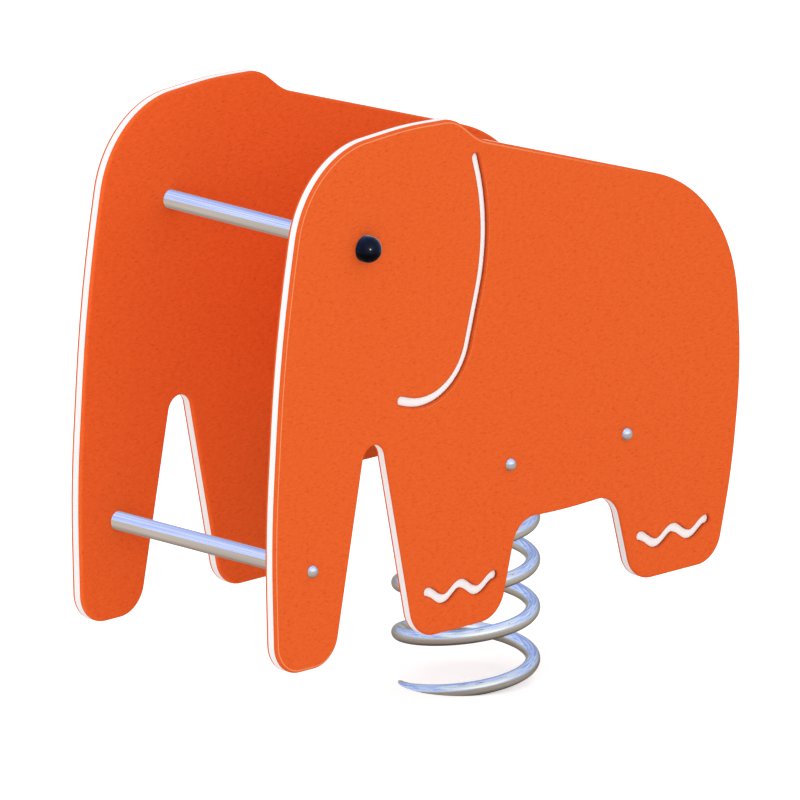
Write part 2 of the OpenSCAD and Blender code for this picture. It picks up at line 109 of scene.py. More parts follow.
@dataclass
class NodeTree:
    """Small helper that adds and links nodes in a material or a group."""

    tree: bpy.types.NodeTree

    def feed(self, value: object, target: Socket) -> None:
        """Links a socket to an input, or sets the input.

        Args:
            value: a socket, a number, a direction or a colour.
            target: the input.
        """
        if isinstance(value, Socket):
            self.tree.links.new(value, target)
        else:
            target.default_value = value

    def add(self, kind: str, **settings: object) -> bpy.types.Node:
        """Adds a node.

        Args:
            kind: Blender's node type.
            settings: properties of the node; a name that starts with in_ feeds that input.

        Returns:
            The new node.
        """
        node = self.tree.nodes.new(kind)
        for name, value in settings.items():
            if name.startswith("in_"):
                self.feed(value, node.inputs[name[3:].replace("_", " ")])
            else:
                setattr(node, name, value)
        return node

    def math(
        self, operation: str, *values: object, kind: str = "ShaderNodeMath", output: str = "Value"
    ) -> Socket:
        """Adds a Math or Vector Math node.

        Args:
            operation: Blender's name of the operation.
            values: what feeds its inputs.
            kind: Blender's node type.
            output: name of the output.

        Returns:
            The output.
        """
        node = self.add(kind, operation=operation)
        for value, target in zip(values, node.inputs):
            self.feed(value, target)
        return node.outputs[output]

    def weighed(self, a: Socket, b: Socket, share: float) -> Socket:
        """Returns the sum of two values, of which the second has the given share."""
        parts = self.math("MULTIPLY", a, 1 - share), self.math("MULTIPLY", b, share)
        return self.math("ADD", *parts)

    def span(self, value: Socket, low: float, high: float, to: Point = (0.0, 1.0)) -> Socket:
        """Maps the values from low to high to another range."""
        ends = {"in_From_Min": low, "in_From_Max": high, "in_To_Min": to[0], "in_To_Max": to[1]}
        return self.add("ShaderNodeMapRange", in_Value=value, **ends).outputs["Result"]

    def noise(self, vector: Socket, scale: object, detail: float = 2.0) -> Socket:
        """Returns the value of a noise texture, whose scale is a number or a socket."""
        fed = {"in_Vector": vector, "in_Scale": scale, "in_Detail": detail, "in_Roughness": 0.6}
        return self.add("ShaderNodeTexNoise", **fed).outputs["Fac"]

    def stretched(self, vector: Socket, by: Direction) -> Socket:
        """Scales coordinates by a factor for each axis."""
        return self.math("MULTIPLY", vector, by, kind="ShaderNodeVectorMath", output="Vector")

    def colour_mix(self, mask: Socket, a: object, b: object) -> Socket:
        """Mixes two colours.

        Args:
            mask: 0 where the first colour shows and 1 where the second does.
            a: the first colour, a socket or three numbers.
            b: the second colour.

        Returns:
            The mixed colour.
        """
        node = self.add("ShaderNodeMix", data_type="RGBA")
        for value, index in ((mask, 0), (a, 6), (b, 7)):
            self.feed((*value, 1.0) if isinstance(value, tuple) else value, node.inputs[index])
        return node.outputs[2]

    def group(
        self, make: Callable[[], bpy.types.NodeTree], vector: Socket, **values: float
    ) -> dict[str, Socket]:
        """Places a shared group with its own values and returns its outputs by name."""
        fed = {f"in_{name}": value for name, value in values.items()}
        return self.add("ShaderNodeGroup", node_tree=make(), in_Vector=vector, **fed).outputs


def new_group(
    name: str, inputs: tuple[str, ...], outputs: tuple[str, ...]
) -> tuple[NodeTree, dict[str, Socket], dict[str, Socket]]:
    """Makes an empty shader node group, whose sockets are floats apart from Vector.

    Args:
        name: the group's name.
        inputs: names of its inputs.
        outputs: names of its outputs.

    Returns:
        The group's tree helper, its input sockets and its output sockets, both by name.
    """
    tree = bpy.data.node_groups.new(name, "ShaderNodeTree")
    for titles, way in ((inputs, "INPUT"), (outputs, "OUTPUT")):
        for title in titles:
            kind = "NodeSocketVector" if title == "Vector" else "NodeSocketFloat"
            tree.interface.new_socket(title, in_out=way, socket_type=kind)
    helper = NodeTree(tree)
    return helper, helper.add("NodeGroupInput").outputs, helper.add("NodeGroupOutput").inputs


@cache
def sheet_grain_group() -> bpy.types.NodeTree:
    """Makes the pressed grain of plastic sheet: a bump height and a mottle of shallow pits.

    Returns:
        The group.
    """
    tree, ins, outs = new_group("Sheet grain", ("Vector", "Scale"), ("Height", "Mottle"))
    wide = tree.stretched(ins["Vector"], (1.0, 0.36, 1.0))
    coarse = tree.noise(wide, ins["Scale"])
    fine = tree.noise(wide, tree.math("MULTIPLY", ins["Scale"], 2.7), detail=3.0)
    height = tree.weighed(coarse, fine, share=0.55)
    spots = tree.noise(wide, tree.math("MULTIPLY", ins["Scale"], 1.3))
    pits = tree.span(spots, low=0.28, high=0.43)
    even = tree.span(height, low=0.32, high=0.66, to=(0.3, 1.0))
    tree.feed(height, outs["Height"])
    tree.feed(tree.math("MULTIPLY", even, pits), outs["Mottle"])
    return tree.tree


@cache
def hand_wear_group() -> bpy.types.NodeTree:
    """Makes the wear of handling: soft smudges and fine scuffs, as one mask.

    Returns:
        The group.
    """
    tree, ins, outs = new_group("Hand wear", ("Vector", "Scale"), ("Mask",))
    soft = tree.noise(ins["Vector"], ins["Scale"], detail=3.0)
    fine = tree.noise(ins["Vector"], tree.math("MULTIPLY", ins["Scale"], 14.0))
    smudges = tree.span(soft, low=0.42, high=0.68)
    scuffs = tree.span(fine, low=0.6, high=0.72, to=(0.0, 0.5))
    tree.feed(tree.math("MAXIMUM", smudges, scuffs), outs["Mask"])
    return tree.tree


@cache
def drawn_lines_group() -> bpy.types.NodeTree:
    """Makes the lines that drawing leaves along a tube or wire: a bump height and a tone.

    Returns:
        The group.
    """
    tree, ins, outs = new_group("Drawn lines", ("Vector",), ("Height", "Tone"))
    broad = tree.noise(tree.stretched(ins["Vector"], (2.0, 120.0, 1.0)), scale=1.0)
    fine = tree.noise(tree.stretched(ins["Vector"], (6.0, 500.0, 1.0)), scale=1.0)
    height = tree.weighed(broad, fine, share=0.25)
    tree.feed(height, outs["Height"])
    tree.feed(tree.span(height, low=0.38, high=0.62), outs["Tone"])
    return tree.tree


# Finishes


@dataclass(frozen=True)
class Finish(ABC):
    """What the finishes share: a name, a main colour and the least and greatest roughness."""

    name: str
    colour: Colour
    roughness: Point

    @abstractmethod
    def build(self) -> bpy.types.Material:
        """Makes the material."""

    def start(self, **constants: object) -> tuple[bpy.types.Material, NodeTree, bpy.types.Node]:
        """Makes a material with a Principled shader.

        Args:
            constants: values set directly on the shader's sockets.

        Returns:
            The material, its tree helper and its shader.
        """
        material = bpy.data.materials.new(self.name)
        material.use_nodes = True
        shader = material.node_tree.nodes["Principled BSDF"]
        for name, value in constants.items():
            shader.inputs[name.replace("_", " ")].default_value = value
        return material, NodeTree(material.node_tree), shader

    def close(
        self,
        tree: NodeTree,
        shader: bpy.types.Node,
        colour: Socket,
        dull: Socket,
        relief: tuple[Socket, float, float],
    ) -> None:
        """Feeds colour, roughness and relief to the shader.

        Args:
            tree: the material's tree helper.
            shader: its shader.
            colour: the surface's colour.
            dull: mask of the rougher places.
            relief: height, depth in metres and strength of the bump.
        """
        height, depth, strength = relief
        bump = tree.add("ShaderNodeBump", in_Height=height, in_Distance=depth, in_Strength=strength)
        tree.feed(colour, shader.inputs["Base Color"])
        tree.feed(tree.span(dull, 0.0, 1.0, self.roughness), shader.inputs["Roughness"])
        tree.feed(bump.outputs[0], shader.inputs["Normal"])


@dataclass(frozen=True)
class SheetFinish(Finish):
    """Layered plastic sheet: a satin surface with a pressed grain, painted shade in the grooves and
    painted light on edges and groove floors.
    """

    deep: Colour
    # Colour of the painted shade in the grooves' lips and walls.
    cut: Colour
    # Colour of the painted light: highlight lines on the orange, paler groove floors on the white
    # core.
    painted_light: Colour
    grain: float
    depth: float
    strength: float
    specular: float = 0.02
    # How far the painted light goes towards its colour.
    painted_light_share: float = 0.68
    wear_scale: float = 9.0

    def build(self) -> bpy.types.Material:
        """Makes the material.

        Returns:
            The material.
        """
        material, tree, shader = self.start(Specular_IOR_Level=self.specular)
        place = tree.add("ShaderNodeTexCoord").outputs["Object"]
        grain = tree.group(sheet_grain_group, place, Scale=self.grain)
        wear = tree.group(hand_wear_group, place, Scale=self.wear_scale)
        # Two marks on the mesh: where shade is painted into the grooves and where light is painted
        # on edges and groove floors.
        cut, rub = (
            tree.add("ShaderNodeAttribute", attribute_name=mark).outputs["Fac"]
            for mark in (GROOVE_SHADE, PAINTED_LIGHT)
        )
        plain = tree.colour_mix(grain["Mottle"], self.deep, self.colour)
        # Painted shade in the grooves, then painted light on edges and groove floors.
        routed = tree.colour_mix(cut, plain, self.cut)
        edged = tree.colour_mix(tree.math("MULTIPLY", rub, self.painted_light_share), routed, self.painted_light)
        self.close(tree, shader, edged, wear["Mask"], (grain["Height"], self.depth, self.strength))
        return material


@dataclass(frozen=True)
class SteelFinish(Finish):
    """Bright steel with lines along the draw, handling wear and painted shade on its underside."""

    pale: Colour
    # Colour of the painted shade on faces that point down.
    underside_shade: Colour
    strength: float
    depth: float = 0.0008
    wear_scale: float = 14.0
    # Heights of the normal over which the painted shade comes in.
    facing_down: Point = (-0.25, -0.97)

    def build(self) -> bpy.types.Material:
        """Makes the material.

        Returns:
            The material.
        """
        material, tree, shader = self.start(Metallic=1.0, Specular_Tint=(0.5, 0.5, 0.5, 1.0))
        coords = tree.add("ShaderNodeTexCoord").outputs
        along = tree.add("ShaderNodeUVMap", uv_map=ALONG).outputs["UV"]
        lines = tree.group(drawn_lines_group, along)
        wear = tree.group(hand_wear_group, coords["Object"], Scale=self.wear_scale)
        drawn = tree.colour_mix(lines["Tone"], self.colour, self.pale)
        # Painted shade: faces that point down are darkened towards the underside colour.
        facing = tree.add("ShaderNodeSeparateXYZ", in_Vector=coords["Normal"]).outputs["Z"]
        colour = tree.colour_mix(tree.span(facing, *self.facing_down), drawn, self.underside_shade)
        self.close(tree, shader, colour, wear["Mask"], (lines["Height"], self.depth, self.strength))
        return material


@dataclass(frozen=True)
class ZincFinish(Finish):
    """Zinc-coated steel: flakes of slightly different grey with a soft sheen."""

    dull: Colour
    flake: float = 110.0
    shades: float = 3.7
    wear_scale: float = 20.0
    wear_share: float = 0.5
    grit: float = 900.0
    depth: float = 0.0002
    strength: float = 0.25

    def build(self) -> bpy.types.Material:
        """Makes the material.

        Returns:
            The material.
        """
        material, tree, shader = self.start(Metallic=1.0)
        place = tree.add("ShaderNodeTexCoord").outputs["Object"]
        flakes = tree.add("ShaderNodeTexVoronoi", in_Vector=place, in_Scale=self.flake)
        tone = tree.math("FRACT", tree.math("MULTIPLY", flakes.outputs["Color"], self.shades))
        wear = tree.group(hand_wear_group, place, Scale=self.wear_scale)["Mask"]
        clean = tree.math("SUBTRACT", 1.0, tree.math("MULTIPLY", wear, self.wear_share))
        colour = tree.colour_mix(tree.math("MULTIPLY", tone, clean), self.dull, self.colour)
        height = tree.noise(place, self.grit, detail=3.0)
        self.close(tree, shader, colour, tone, (height, self.depth, self.strength))
        return material


@dataclass(frozen=True)
class CapFinish(Finish):
    """Moulded plastic with faint smudges: dull below, with a clear coat and a painted blue
    reflection on its upper part.
    """

    # Colour of the painted reflection on the upper part, and the heights over which it and the coat
    # come in.
    painted_reflection: Colour
    upper_from: Point = (0.39, 0.49)
    wear_scale: float = 60.0
    wear_share: float = 0.3
    grain: float = 700.0
    depth: float = 0.0002
    strength: float = 0.05
    specular: float = 0.02
    coat_ior: float = 1.13
    coat_roughness: float = 0.11

    def build(self) -> bpy.types.Material:
        """Makes the material.

        Returns:
            The material.
        """
        coat = {"Coat_IOR": self.coat_ior, "Coat_Roughness": self.coat_roughness}
        material, tree, shader = self.start(Specular_IOR_Level=self.specular, **coat)
        coords = tree.add("ShaderNodeTexCoord").outputs
        height = tree.add("ShaderNodeSeparateXYZ", in_Vector=coords["Generated"]).outputs["Z"]
        wear = tree.group(hand_wear_group, coords["Object"], Scale=self.wear_scale)["Mask"]
        grain = tree.group(sheet_grain_group, coords["Object"], Scale=self.grain)
        clean = tree.math("SUBTRACT", 1.0, tree.math("MULTIPLY", wear, self.wear_share))
        # One mask gives the upper part its coat and its painted reflection.
        polish = tree.math("MULTIPLY", tree.span(height, *self.upper_from), clean)
        tree.feed(polish, shader.inputs["Coat Weight"])
        colour = tree.colour_mix(polish, self.colour, self.painted_reflection)
        self.close(tree, shader, colour, wear, (grain["Height"], self.depth, self.strength))
        return material


FINISHES: dict[Slot, Finish] = {
    Slot.ORANGE: SheetFinish(
        name="Orange sheet", colour=(0.87, 0.1385, 0.0265), roughness=(0.75, 0.9),
        # cut is the painted shade of the grooves and the last colour a painted edge highlight.
        deep=(0.71, 0.0895, 0.016), cut=(0.26, 0.02, 0.004), painted_light=(0.90, 0.38, 0.18),
        grain=290.0, depth=0.0009, strength=0.5,
    ),
    Slot.WHITE: SheetFinish(
        name="White core", colour=(0.92, 0.925, 0.92), roughness=(0.45, 0.6),
        # The last colour paints the core's whole upper face paler, which shows as the groove
        # floors: painted light against their shade.
        deep=(0.885, 0.89, 0.885), cut=(0.9, 0.9, 0.9), painted_light=(0.99, 1.0, 1.0),
        grain=420.0, depth=0.0006, strength=0.2,
    ),
    # In each steel the last colour is painted shade for its underside.
    Slot.BAR: SteelFinish(
        name="Bar steel", colour=(0.47, 0.42, 0.365), roughness=(0.08, 0.14),
        pale=(0.575, 0.51, 0.445), underside_shade=(0.36, 0.31, 0.26), strength=0.35,
    ),
    Slot.FASTENER: SteelFinish(
        name="Fastener steel", colour=(0.405, 0.385, 0.36), roughness=(0.12, 0.24),
        pale=(0.45, 0.43, 0.405), underside_shade=(0.27, 0.25, 0.225), strength=0.1,
    ),
    Slot.SPRING: SteelFinish(
        name="Spring steel", colour=(0.385, 0.37, 0.325), roughness=(0.08, 0.15),
        pale=(0.475, 0.455, 0.40), underside_shade=(0.10, 0.092, 0.074), strength=0.2,
    ),
    Slot.ZINC: ZincFinish(
        name="Zinc coat", colour=(0.46, 0.47, 0.48), roughness=(0.34, 0.52),
        dull=(0.30, 0.31, 0.32),
    ),
    Slot.EYE: CapFinish(
        name="Eye black", colour=(0.001, 0.001, 0.0012), roughness=(0.4, 0.55),
        # A painted blue reflection for the upper part.
        painted_reflection=(0.0008, 0.003, 0.014),
    ),
}


@cache
def material_of(slot: Slot) -> bpy.types.Material:
    """Returns a slot's material, made on its first use."""
    return FINISHES[slot].build()


# Meshes


@dataclass
class Shell:
    """Collects rings of vertices with their own normals and turns them into a piece."""

    points: list[np.ndarray] = field(default_factory=list)
    normals: list[np.ndarray] = field(default_factory=list)
    maps: list[np.ndarray] = field(default_factory=list)
    marks: dict[str, list[np.ndarray]] = field(default_factory=lambda: {GROOVE_SHADE: [], PAINTED_LIGHT: []})
    faces: list[tuple[int, ...]] = field(default_factory=list)
    count: int = 0

    def ring(
        self, points: np.ndarray, normals: np.ndarray, uv: np.ndarray | None = None, **marks: object
    ) -> int:
        """Adds vertices.

        Args:
            points: positions, one row each.
            normals: normals, one row each.
            uv: map coordinates in metres, one row each.
            marks: values of the mesh's marks by name, one for all or one for each row.

        Returns:
            The index of the first new vertex.
        """
        first = self.count
        self.points.append(points)
        self.normals.append(normals)
        self.maps.append(np.zeros((len(points), 2)) if uv is None else uv)
        for name, values in self.marks.items():
            values.append(np.zeros(len(points)) + marks.get(name, 0.0))
        self.count += len(points)
        return first

    def bridge(self, low: int, high: int, size: int, closed: bool = True) -> None:
        """Adds the faces between two rings.

        Args:
            low: first vertex of one ring.
            high: first vertex of the other.
            size: vertices in each.
            closed: whether the last vertex joins the first.
        """
        for i in range(size if closed else size - 1):
            j = (i + 1) % size
            self.faces.append((low + i, low + j, high + j, high + i))

    def piece(self, name: str, mirrored: bool = False) -> bpy.types.Object:
        """Makes the Blender object.

        Args:
            name: the piece's name.
            mirrored: turns the faces round, for points that were mirrored.

        Returns:
            The new object, in the scene.
        """
        faces = [face[::-1] for face in self.faces] if mirrored else self.faces
        mesh = bpy.data.meshes.new(name)
        mesh.from_pydata((np.concatenate(self.points) * MM).tolist(), [], faces)
        corner = np.zeros(len(mesh.loops), int)
        mesh.loops.foreach_get("vertex_index", corner)
        spread = np.concatenate(self.maps)[corner].astype(np.float32)
        mesh.uv_layers.new(name=ALONG).uv.foreach_set("vector", spread.ravel())
        for mark, values in self.marks.items():
            flat = np.concatenate(values).astype(np.float32)
            if flat.any():
                mesh.attributes.new(mark, "FLOAT", "POINT").data.foreach_set("value", flat)
        mesh.polygons.foreach_set("use_smooth", [True] * len(mesh.polygons))
        normals = np.concatenate(self.normals)
        normals /= np.linalg.norm(normals, axis=1, keepdims=True)
        mesh.normals_split_custom_set_from_vertices(normals.tolist())
        mesh.update()
        piece = bpy.data.objects.new(name, mesh)
        bpy.context.scene.collection.objects.link(piece)
        return piece


def swung(centre: Point, arm: Point, angles: np.ndarray) -> np.ndarray:
    """Returns the points that an arm from a centre reaches when it turns by each angle."""
    c, s = np.cos(angles), np.sin(angles)
    return np.array(centre) + np.column_stack((arm[0] * c - arm[1] * s, arm[0] * s + arm[1] * c))


def circle(place: Point, radius: float, steps: int = 48) -> np.ndarray:
    """Returns a round loop."""
    return swung(place, (radius, 0.0), np.linspace(0, 2 * math.pi, steps, endpoint=False))


def arc(x: float, r: float, radius: float, start: float, end: float, steps: int) -> list[Point]:
    """Returns an arc of a turned section, by angles in degrees from the axis's direction."""
    points = swung((x, r), (radius, 0.0), np.radians(np.linspace(start, end, steps)))
    return [(along, max(0.0, out)) for along, out in points.tolist()]


def rounded_corner(a: Corner, b: Corner, c: Corner, step: float = 1.5) -> np.ndarray:
    """Rounds the corner b between a and c with a tangent arc.

    Args:
        a: the corner before.
        b: the corner to round, with its radius.
        c: the corner after.
        step: degrees for each step of the arc.

    Returns:
        Points along the arc.
    """
    at, radius = np.array(b[:2]), b[2]
    u, v = np.array(a[:2]) - at, np.array(c[:2]) - at
    u, v = u / np.linalg.norm(u), v / np.linalg.norm(v)
    half = math.acos(float(u @ v)) / 2
    centre = at + radius / math.sin(half) * (u + v) / np.linalg.norm(u + v)
    start = at + radius / math.tan(half) * u - centre
    turn = (-1 if u[0] * v[1] - u[1] * v[0] > 0 else 1) * (math.pi - 2 * half)
    steps = math.ceil(abs(math.degrees(turn)) / step) + 1
    return swung(centre, start, np.linspace(0, turn, steps + 1))


def rounded_polygon(corners: list[Corner]) -> np.ndarray:
    """Returns a closed outline with each corner rounded by its own radius."""
    around = zip([corners[-1], *corners], corners, [*corners[1:], corners[0]])
    return np.concatenate([rounded_corner(*three) for three in around])


def rounded_box(low: Point, high: Point, r: float) -> np.ndarray:
    """Returns a rectangle with rounded corners."""
    (x0, y0), (x1, y1) = low, high
    return rounded_polygon([(x0, y0, r), (x1, y0, r), (x1, y1, r), (x0, y1, r)])


def rounded_path(corners: list[Corner]) -> np.ndarray:
    """Returns an open path with each inner corner rounded by its own radius."""
    inner = [rounded_corner(*three) for three in zip(corners, corners[1:], corners[2:])]
    return np.concatenate(([corners[0][:2]], *inner, [corners[-1][:2]]))


def stroke(path: np.ndarray, width: float, end_steps: int = 16) -> np.ndarray:
    """Draws the loop round a path, with round ends.

    Args:
        path: the path's points.
        width: width of the stroke.
        end_steps: steps of each round end.

    Returns:
        The loop.
    """
    ahead = np.gradient(path, axis=0)
    ahead /= np.linalg.norm(ahead, axis=1, keepdims=True)
    side = np.column_stack((-ahead[:, 1], ahead[:, 0])) * width / 2
    turns = -math.pi * np.arange(1, end_steps) / end_steps
    far, near = swung(path[-1], side[-1], turns), swung(path[0], -side[0], turns)
    return np.concatenate((path + side, far, (path - side)[::-1], near))


def turned(loop: np.ndarray, left: bool) -> np.ndarray:
    """Makes a loop run to the left (anticlockwise) or to the right.

    Args:
        loop: the loop.
        left: which way it has to run.

    Returns:
        The loop, turned round if it ran the other way.
    """
    x, y = loop.T
    area = float((x * np.roll(y, -1) - np.roll(x, -1) * y).sum())
    return loop if (area > 0) == left else loop[::-1]


def inward(loop: np.ndarray) -> np.ndarray:
    """Finds where a loop's material lies.

    Args:
        loop: the loop, with its material on the left.

    Returns:
        The unit direction into the material at each point.
    """
    edge = np.roll(loop, -1, axis=0) - loop
    edge /= np.linalg.norm(edge, axis=1, keepdims=True)
    normal = np.column_stack((-edge[:, 1], edge[:, 0]))
    normal = normal + np.roll(normal, 1, axis=0)
    return normal / np.linalg.norm(normal, axis=1, keepdims=True)


def everywhere(loop: np.ndarray, side: np.ndarray) -> np.ndarray:
    """Returns a mark all round a loop."""
    return np.ones(len(loop))


@dataclass(frozen=True)
class Axes:
    """Places a flat drawing: its two directions and the direction of its thickness."""

    u: Direction
    v: Direction
    w: Direction


LEVEL = Axes((1, 0, 0), (0, 1, 0), (0, 0, 1))


@dataclass
class Hole:
    """A hole in a flat piece: its loop, its lip's rounding, how strong the shade painted into its
    lip and wall is, and where light is painted along it.
    """

    loop: np.ndarray
    lip: float = 0.3
    # Strength of the painted shade in the lip and wall.
    dark: float = 0.0
    # Where light is painted along the hole.
    rub: Marker | None = None
    # How far in the painted highlight line lies.
    painted_light_at: float = 0.0


@dataclass
class Slab:
    """A flat piece with holes, cut from sheet or folded from a profile, with rounded edges."""

    outline: np.ndarray
    low: float
    high: float
    edge_low: float = 0.0
    edge_high: float = 0.0
    holes: list[Hole] = field(default_factory=list)
    # Where light is painted along the outline.
    rub: Marker | None = None
    round_steps: int = 9
    margin: float = 0.5
    # Painted shade in grooves: its strength at the top of the lip against 1 at the foot, and how
    # far short of the highlight line it stops.
    lip_shade: float = 0.16
    dark_gap: float = 1.5
    # Width and rings of the painted highlight line.
    painted_light_w: float = 0.9
    painted_light_steps: tuple[float, ...] = (-1.0, 0.0, 0.6)
    level_from: float = 0.97

    def edge(self, level: float, up: float, radius: float) -> list[tuple[float, ...]]:
        """Draws the section of one edge, from the wall to the face.

        Args:
            level: the face's level.
            up: 1 for the high face and -1 for the low one.
            radius: the edge's rounding.

        Returns:
            Rows of inset, level, outward part of the normal and level part of the normal.
        """
        if not radius:
            return [(0.0, level, 1.0, 0.0), (0.0, level, 0.0, up)]
        turns = np.radians(np.linspace(0, 90, self.round_steps))
        bend = [
            (radius * (1 - c), level - up * radius * (1 - s), c, up * s)
            for c, s in zip(np.cos(turns), np.sin(turns))
        ]
        return [*bend, (radius + self.margin, level, 0.0, up)]

    def wall(self, shell: Shell, cut: Hole, rows: np.ndarray) -> list[tuple[int, np.ndarray]]:
        """Adds the wall round the outline or a hole.

        Args:
            shell: where the faces go.
            cut: the outline or the hole, with the material on its loop's left.
            rows: the drawing's directions in the frame.

        Returns:
            The first vertex and the drawn loop of the wall's low end and of its high one.
        """
        loop, n, side = cut.loop, len(cut.loop), inward(cut.loop)
        painted_light = cut.rub(loop, side) if cut.rub else 0.0
        lip = min(self.edge_high, cut.lip)
        line = cut.painted_light_at or lip
        section = self.edge(self.low, -1.0, min(self.edge_low, cut.lip))[::-1]
        section += self.edge(self.high, 1.0, lip)
        if line > lip:
            section += [(line + step, self.high, 0.0, 1.0) for step in self.painted_light_steps]
        starts = []
        for inset, level, out, up in section:
            flat = loop + side * inset
            points = np.column_stack((flat, np.full(n, level))) @ rows
            normals = np.column_stack((-side * out, np.full(n, up))) @ rows
            # Painted shade: groove lips and walls darken towards their foot; painted light: a thin
            # pale line on the face where the rounding ends.
            deep = (self.high - level) / (self.high - self.low)
            shade = self.lip_shade + (1 - self.lip_shade) * deep
            dark = cut.dark * shade * (inset < line - self.dark_gap)
            pale = painted_light * (up > self.level_from and line - self.painted_light_w <= inset <= line)
            starts.append(shell.ring(points, normals, flat * MM, Cut=dark, Rub=pale))
        for low, high, here, there in zip(starts, starts[1:], section, section[1:]):
            if here[:2] != there[:2]:
                shell.bridge(low, high, n)
        return [(starts[end], loop + side * section[end][0]) for end in (0, -1)]

    @staticmethod
    def face(shell: Shell, ends: tuple[tuple[int, np.ndarray], ...], up: bool) -> None:
        """Closes one face between the walls.

        Args:
            shell: where the faces go.
            ends: the first vertex and the drawn loop of each wall's end.
            up: whether this is the high face.
        """
        index = np.concatenate([start + np.arange(len(loop)) for start, loop in ends]).tolist()
        drawn = np.concatenate([loop for _, loop in ends])
        loops = [[Vector((x, y, 0.0)) for x, y in loop] for _, loop in ends]
        for triangle in tessellate_polygon(loops):
            a, b, c = (drawn[i] for i in triangle)
            left = (b[0] - a[0]) * (c[1] - a[1]) - (b[1] - a[1]) * (c[0] - a[0]) > 0
            corners = [index[i] for i in triangle]
            shell.faces.append(tuple(corners if left == up else corners[::-1]))

    def build(self, name: str, axes: Axes) -> bpy.types.Object:
        """Makes the piece.

        Args:
            name: the piece's name.
            axes: where the drawing lies.

        Returns:
            The new object.
        """
        shell, rows = Shell(), np.array((axes.u, axes.v, axes.w), float)
        rim = Hole(turned(self.outline, True), max(self.edge_low, self.edge_high), rub=self.rub)
        cuts = [rim, *(replace(hole, loop=turned(hole.loop, False)) for hole in self.holes)]
        lows, highs = zip(*(self.wall(shell, cut, rows) for cut in cuts))
        self.face(shell, lows, False)
        self.face(shell, highs, True)
        return shell.piece(name, mirrored=float(np.linalg.det(rows)) < 0)


@dataclass
class Turning:
    """A turned piece: a section of [distance along the axis, radius] points about one axis."""

    section: list[Point]
    sides: int
    gentle: float = 32.0

    def add_to(self, shell: Shell, origin: Vector, axis: Vector) -> None:
        """Adds the turned piece to a shell.

        Args:
            shell: where the faces go.
            origin: start of the axis.
            axis: direction of the axis.
        """
        across = axis.orthogonal().normalized()
        t = np.linspace(0, 2 * math.pi, self.sides + 1)
        spokes = np.outer(np.cos(t), across) + np.outer(np.sin(t), axis.cross(across))
        start, ahead, section = np.array(origin), np.array(axis), np.array(self.section, float)
        steps = np.linalg.norm(np.diff(section, axis=0), axis=1)
        run = np.concatenate(([0.0], np.cumsum(steps)))
        for i in range(len(steps)):
            rings = []
            for k in (0, 1):
                x, r = section[i + k]
                out, along = self.lean(section, i, k)
                uv = np.column_stack((np.full(len(t), run[i + k]), t * max(r, 1.0))) * MM
                normals = spokes * out + ahead * along
                rings.append(shell.ring(start + ahead * x + spokes * r, normals, uv))
            shell.bridge(*rings, len(t), closed=False)

    def lean(self, section: np.ndarray, i: int, k: int) -> Point:
        """Finds the normal at one end of a step of the section, smoothed over gentle bends only.

        Args:
            section: the section's points.
            i: the step.
            k: 0 for its start and 1 for its end.

        Returns:
            The parts of the normal away from the axis and along it.
        """
        flat = np.diff(section, axis=0) * (1.0, -1.0)
        flat /= np.linalg.norm(flat, axis=1, keepdims=True)
        (out, along), j = flat[i], i + (1 if k else -1)
        at_axis, blunt = section[i + k][1] < 1e-6, abs(along) > 0.9
        if 0 <= j < len(flat) and float(flat[i] @ flat[j]) > math.cos(math.radians(self.gentle)):
            out, along = flat[i] + flat[j]
        elif at_axis and blunt:
            out, along = 0.0, math.copysign(1.0, along)
        return float(out), float(along)


# Sub-assemblies


@dataclass(frozen=True)
class SheetSizes:
    """Sizes that the panels share with what they carry."""

    panel_in: float = 173.0
    skin_t: float = 5.0
    core_t: float = 10.0
    edge_r: float = 4.0
    bolt_hole_r: float = 4.25
    socket_r: float = 12.65
    socket_lip: float = 0.5
    socket_sides: int = 96

    @property
    def core_in(self) -> float:
        """Distance from the middle plane to a panel core's inner face."""
        return self.panel_in + self.skin_t

    @property
    def thickness(self) -> float:
        """Thickness of the whole sheet."""
        return 2 * self.skin_t + self.core_t

    @property
    def panel_out(self) -> float:
        """Distance from the middle plane to a panel's outer face."""
        return self.panel_in + self.thickness


SHEET = SheetSizes()
HANDLEBAR: Point = (-383.0, GROUND + 700.0)
FOOTREST: Point = (-482.0, GROUND + 276.0)
CARRIER_TOP = GROUND + 375.0
CARRIER_BOLTS: tuple[Point, Point] = ((-110.0, GROUND + 352.0), (110.0, GROUND + 352.0))


def on_panels(*drawn: Point) -> list[Place]:
    """Returns [y, z] points on both panels' outer faces, with the direction away from them."""
    out = [(Vector((side.value, 0, 0)), y, z) for side in Side for y, z in drawn]
    return [(Vector((away.x * SHEET.panel_out, y, z)), away) for away, y, z in out]


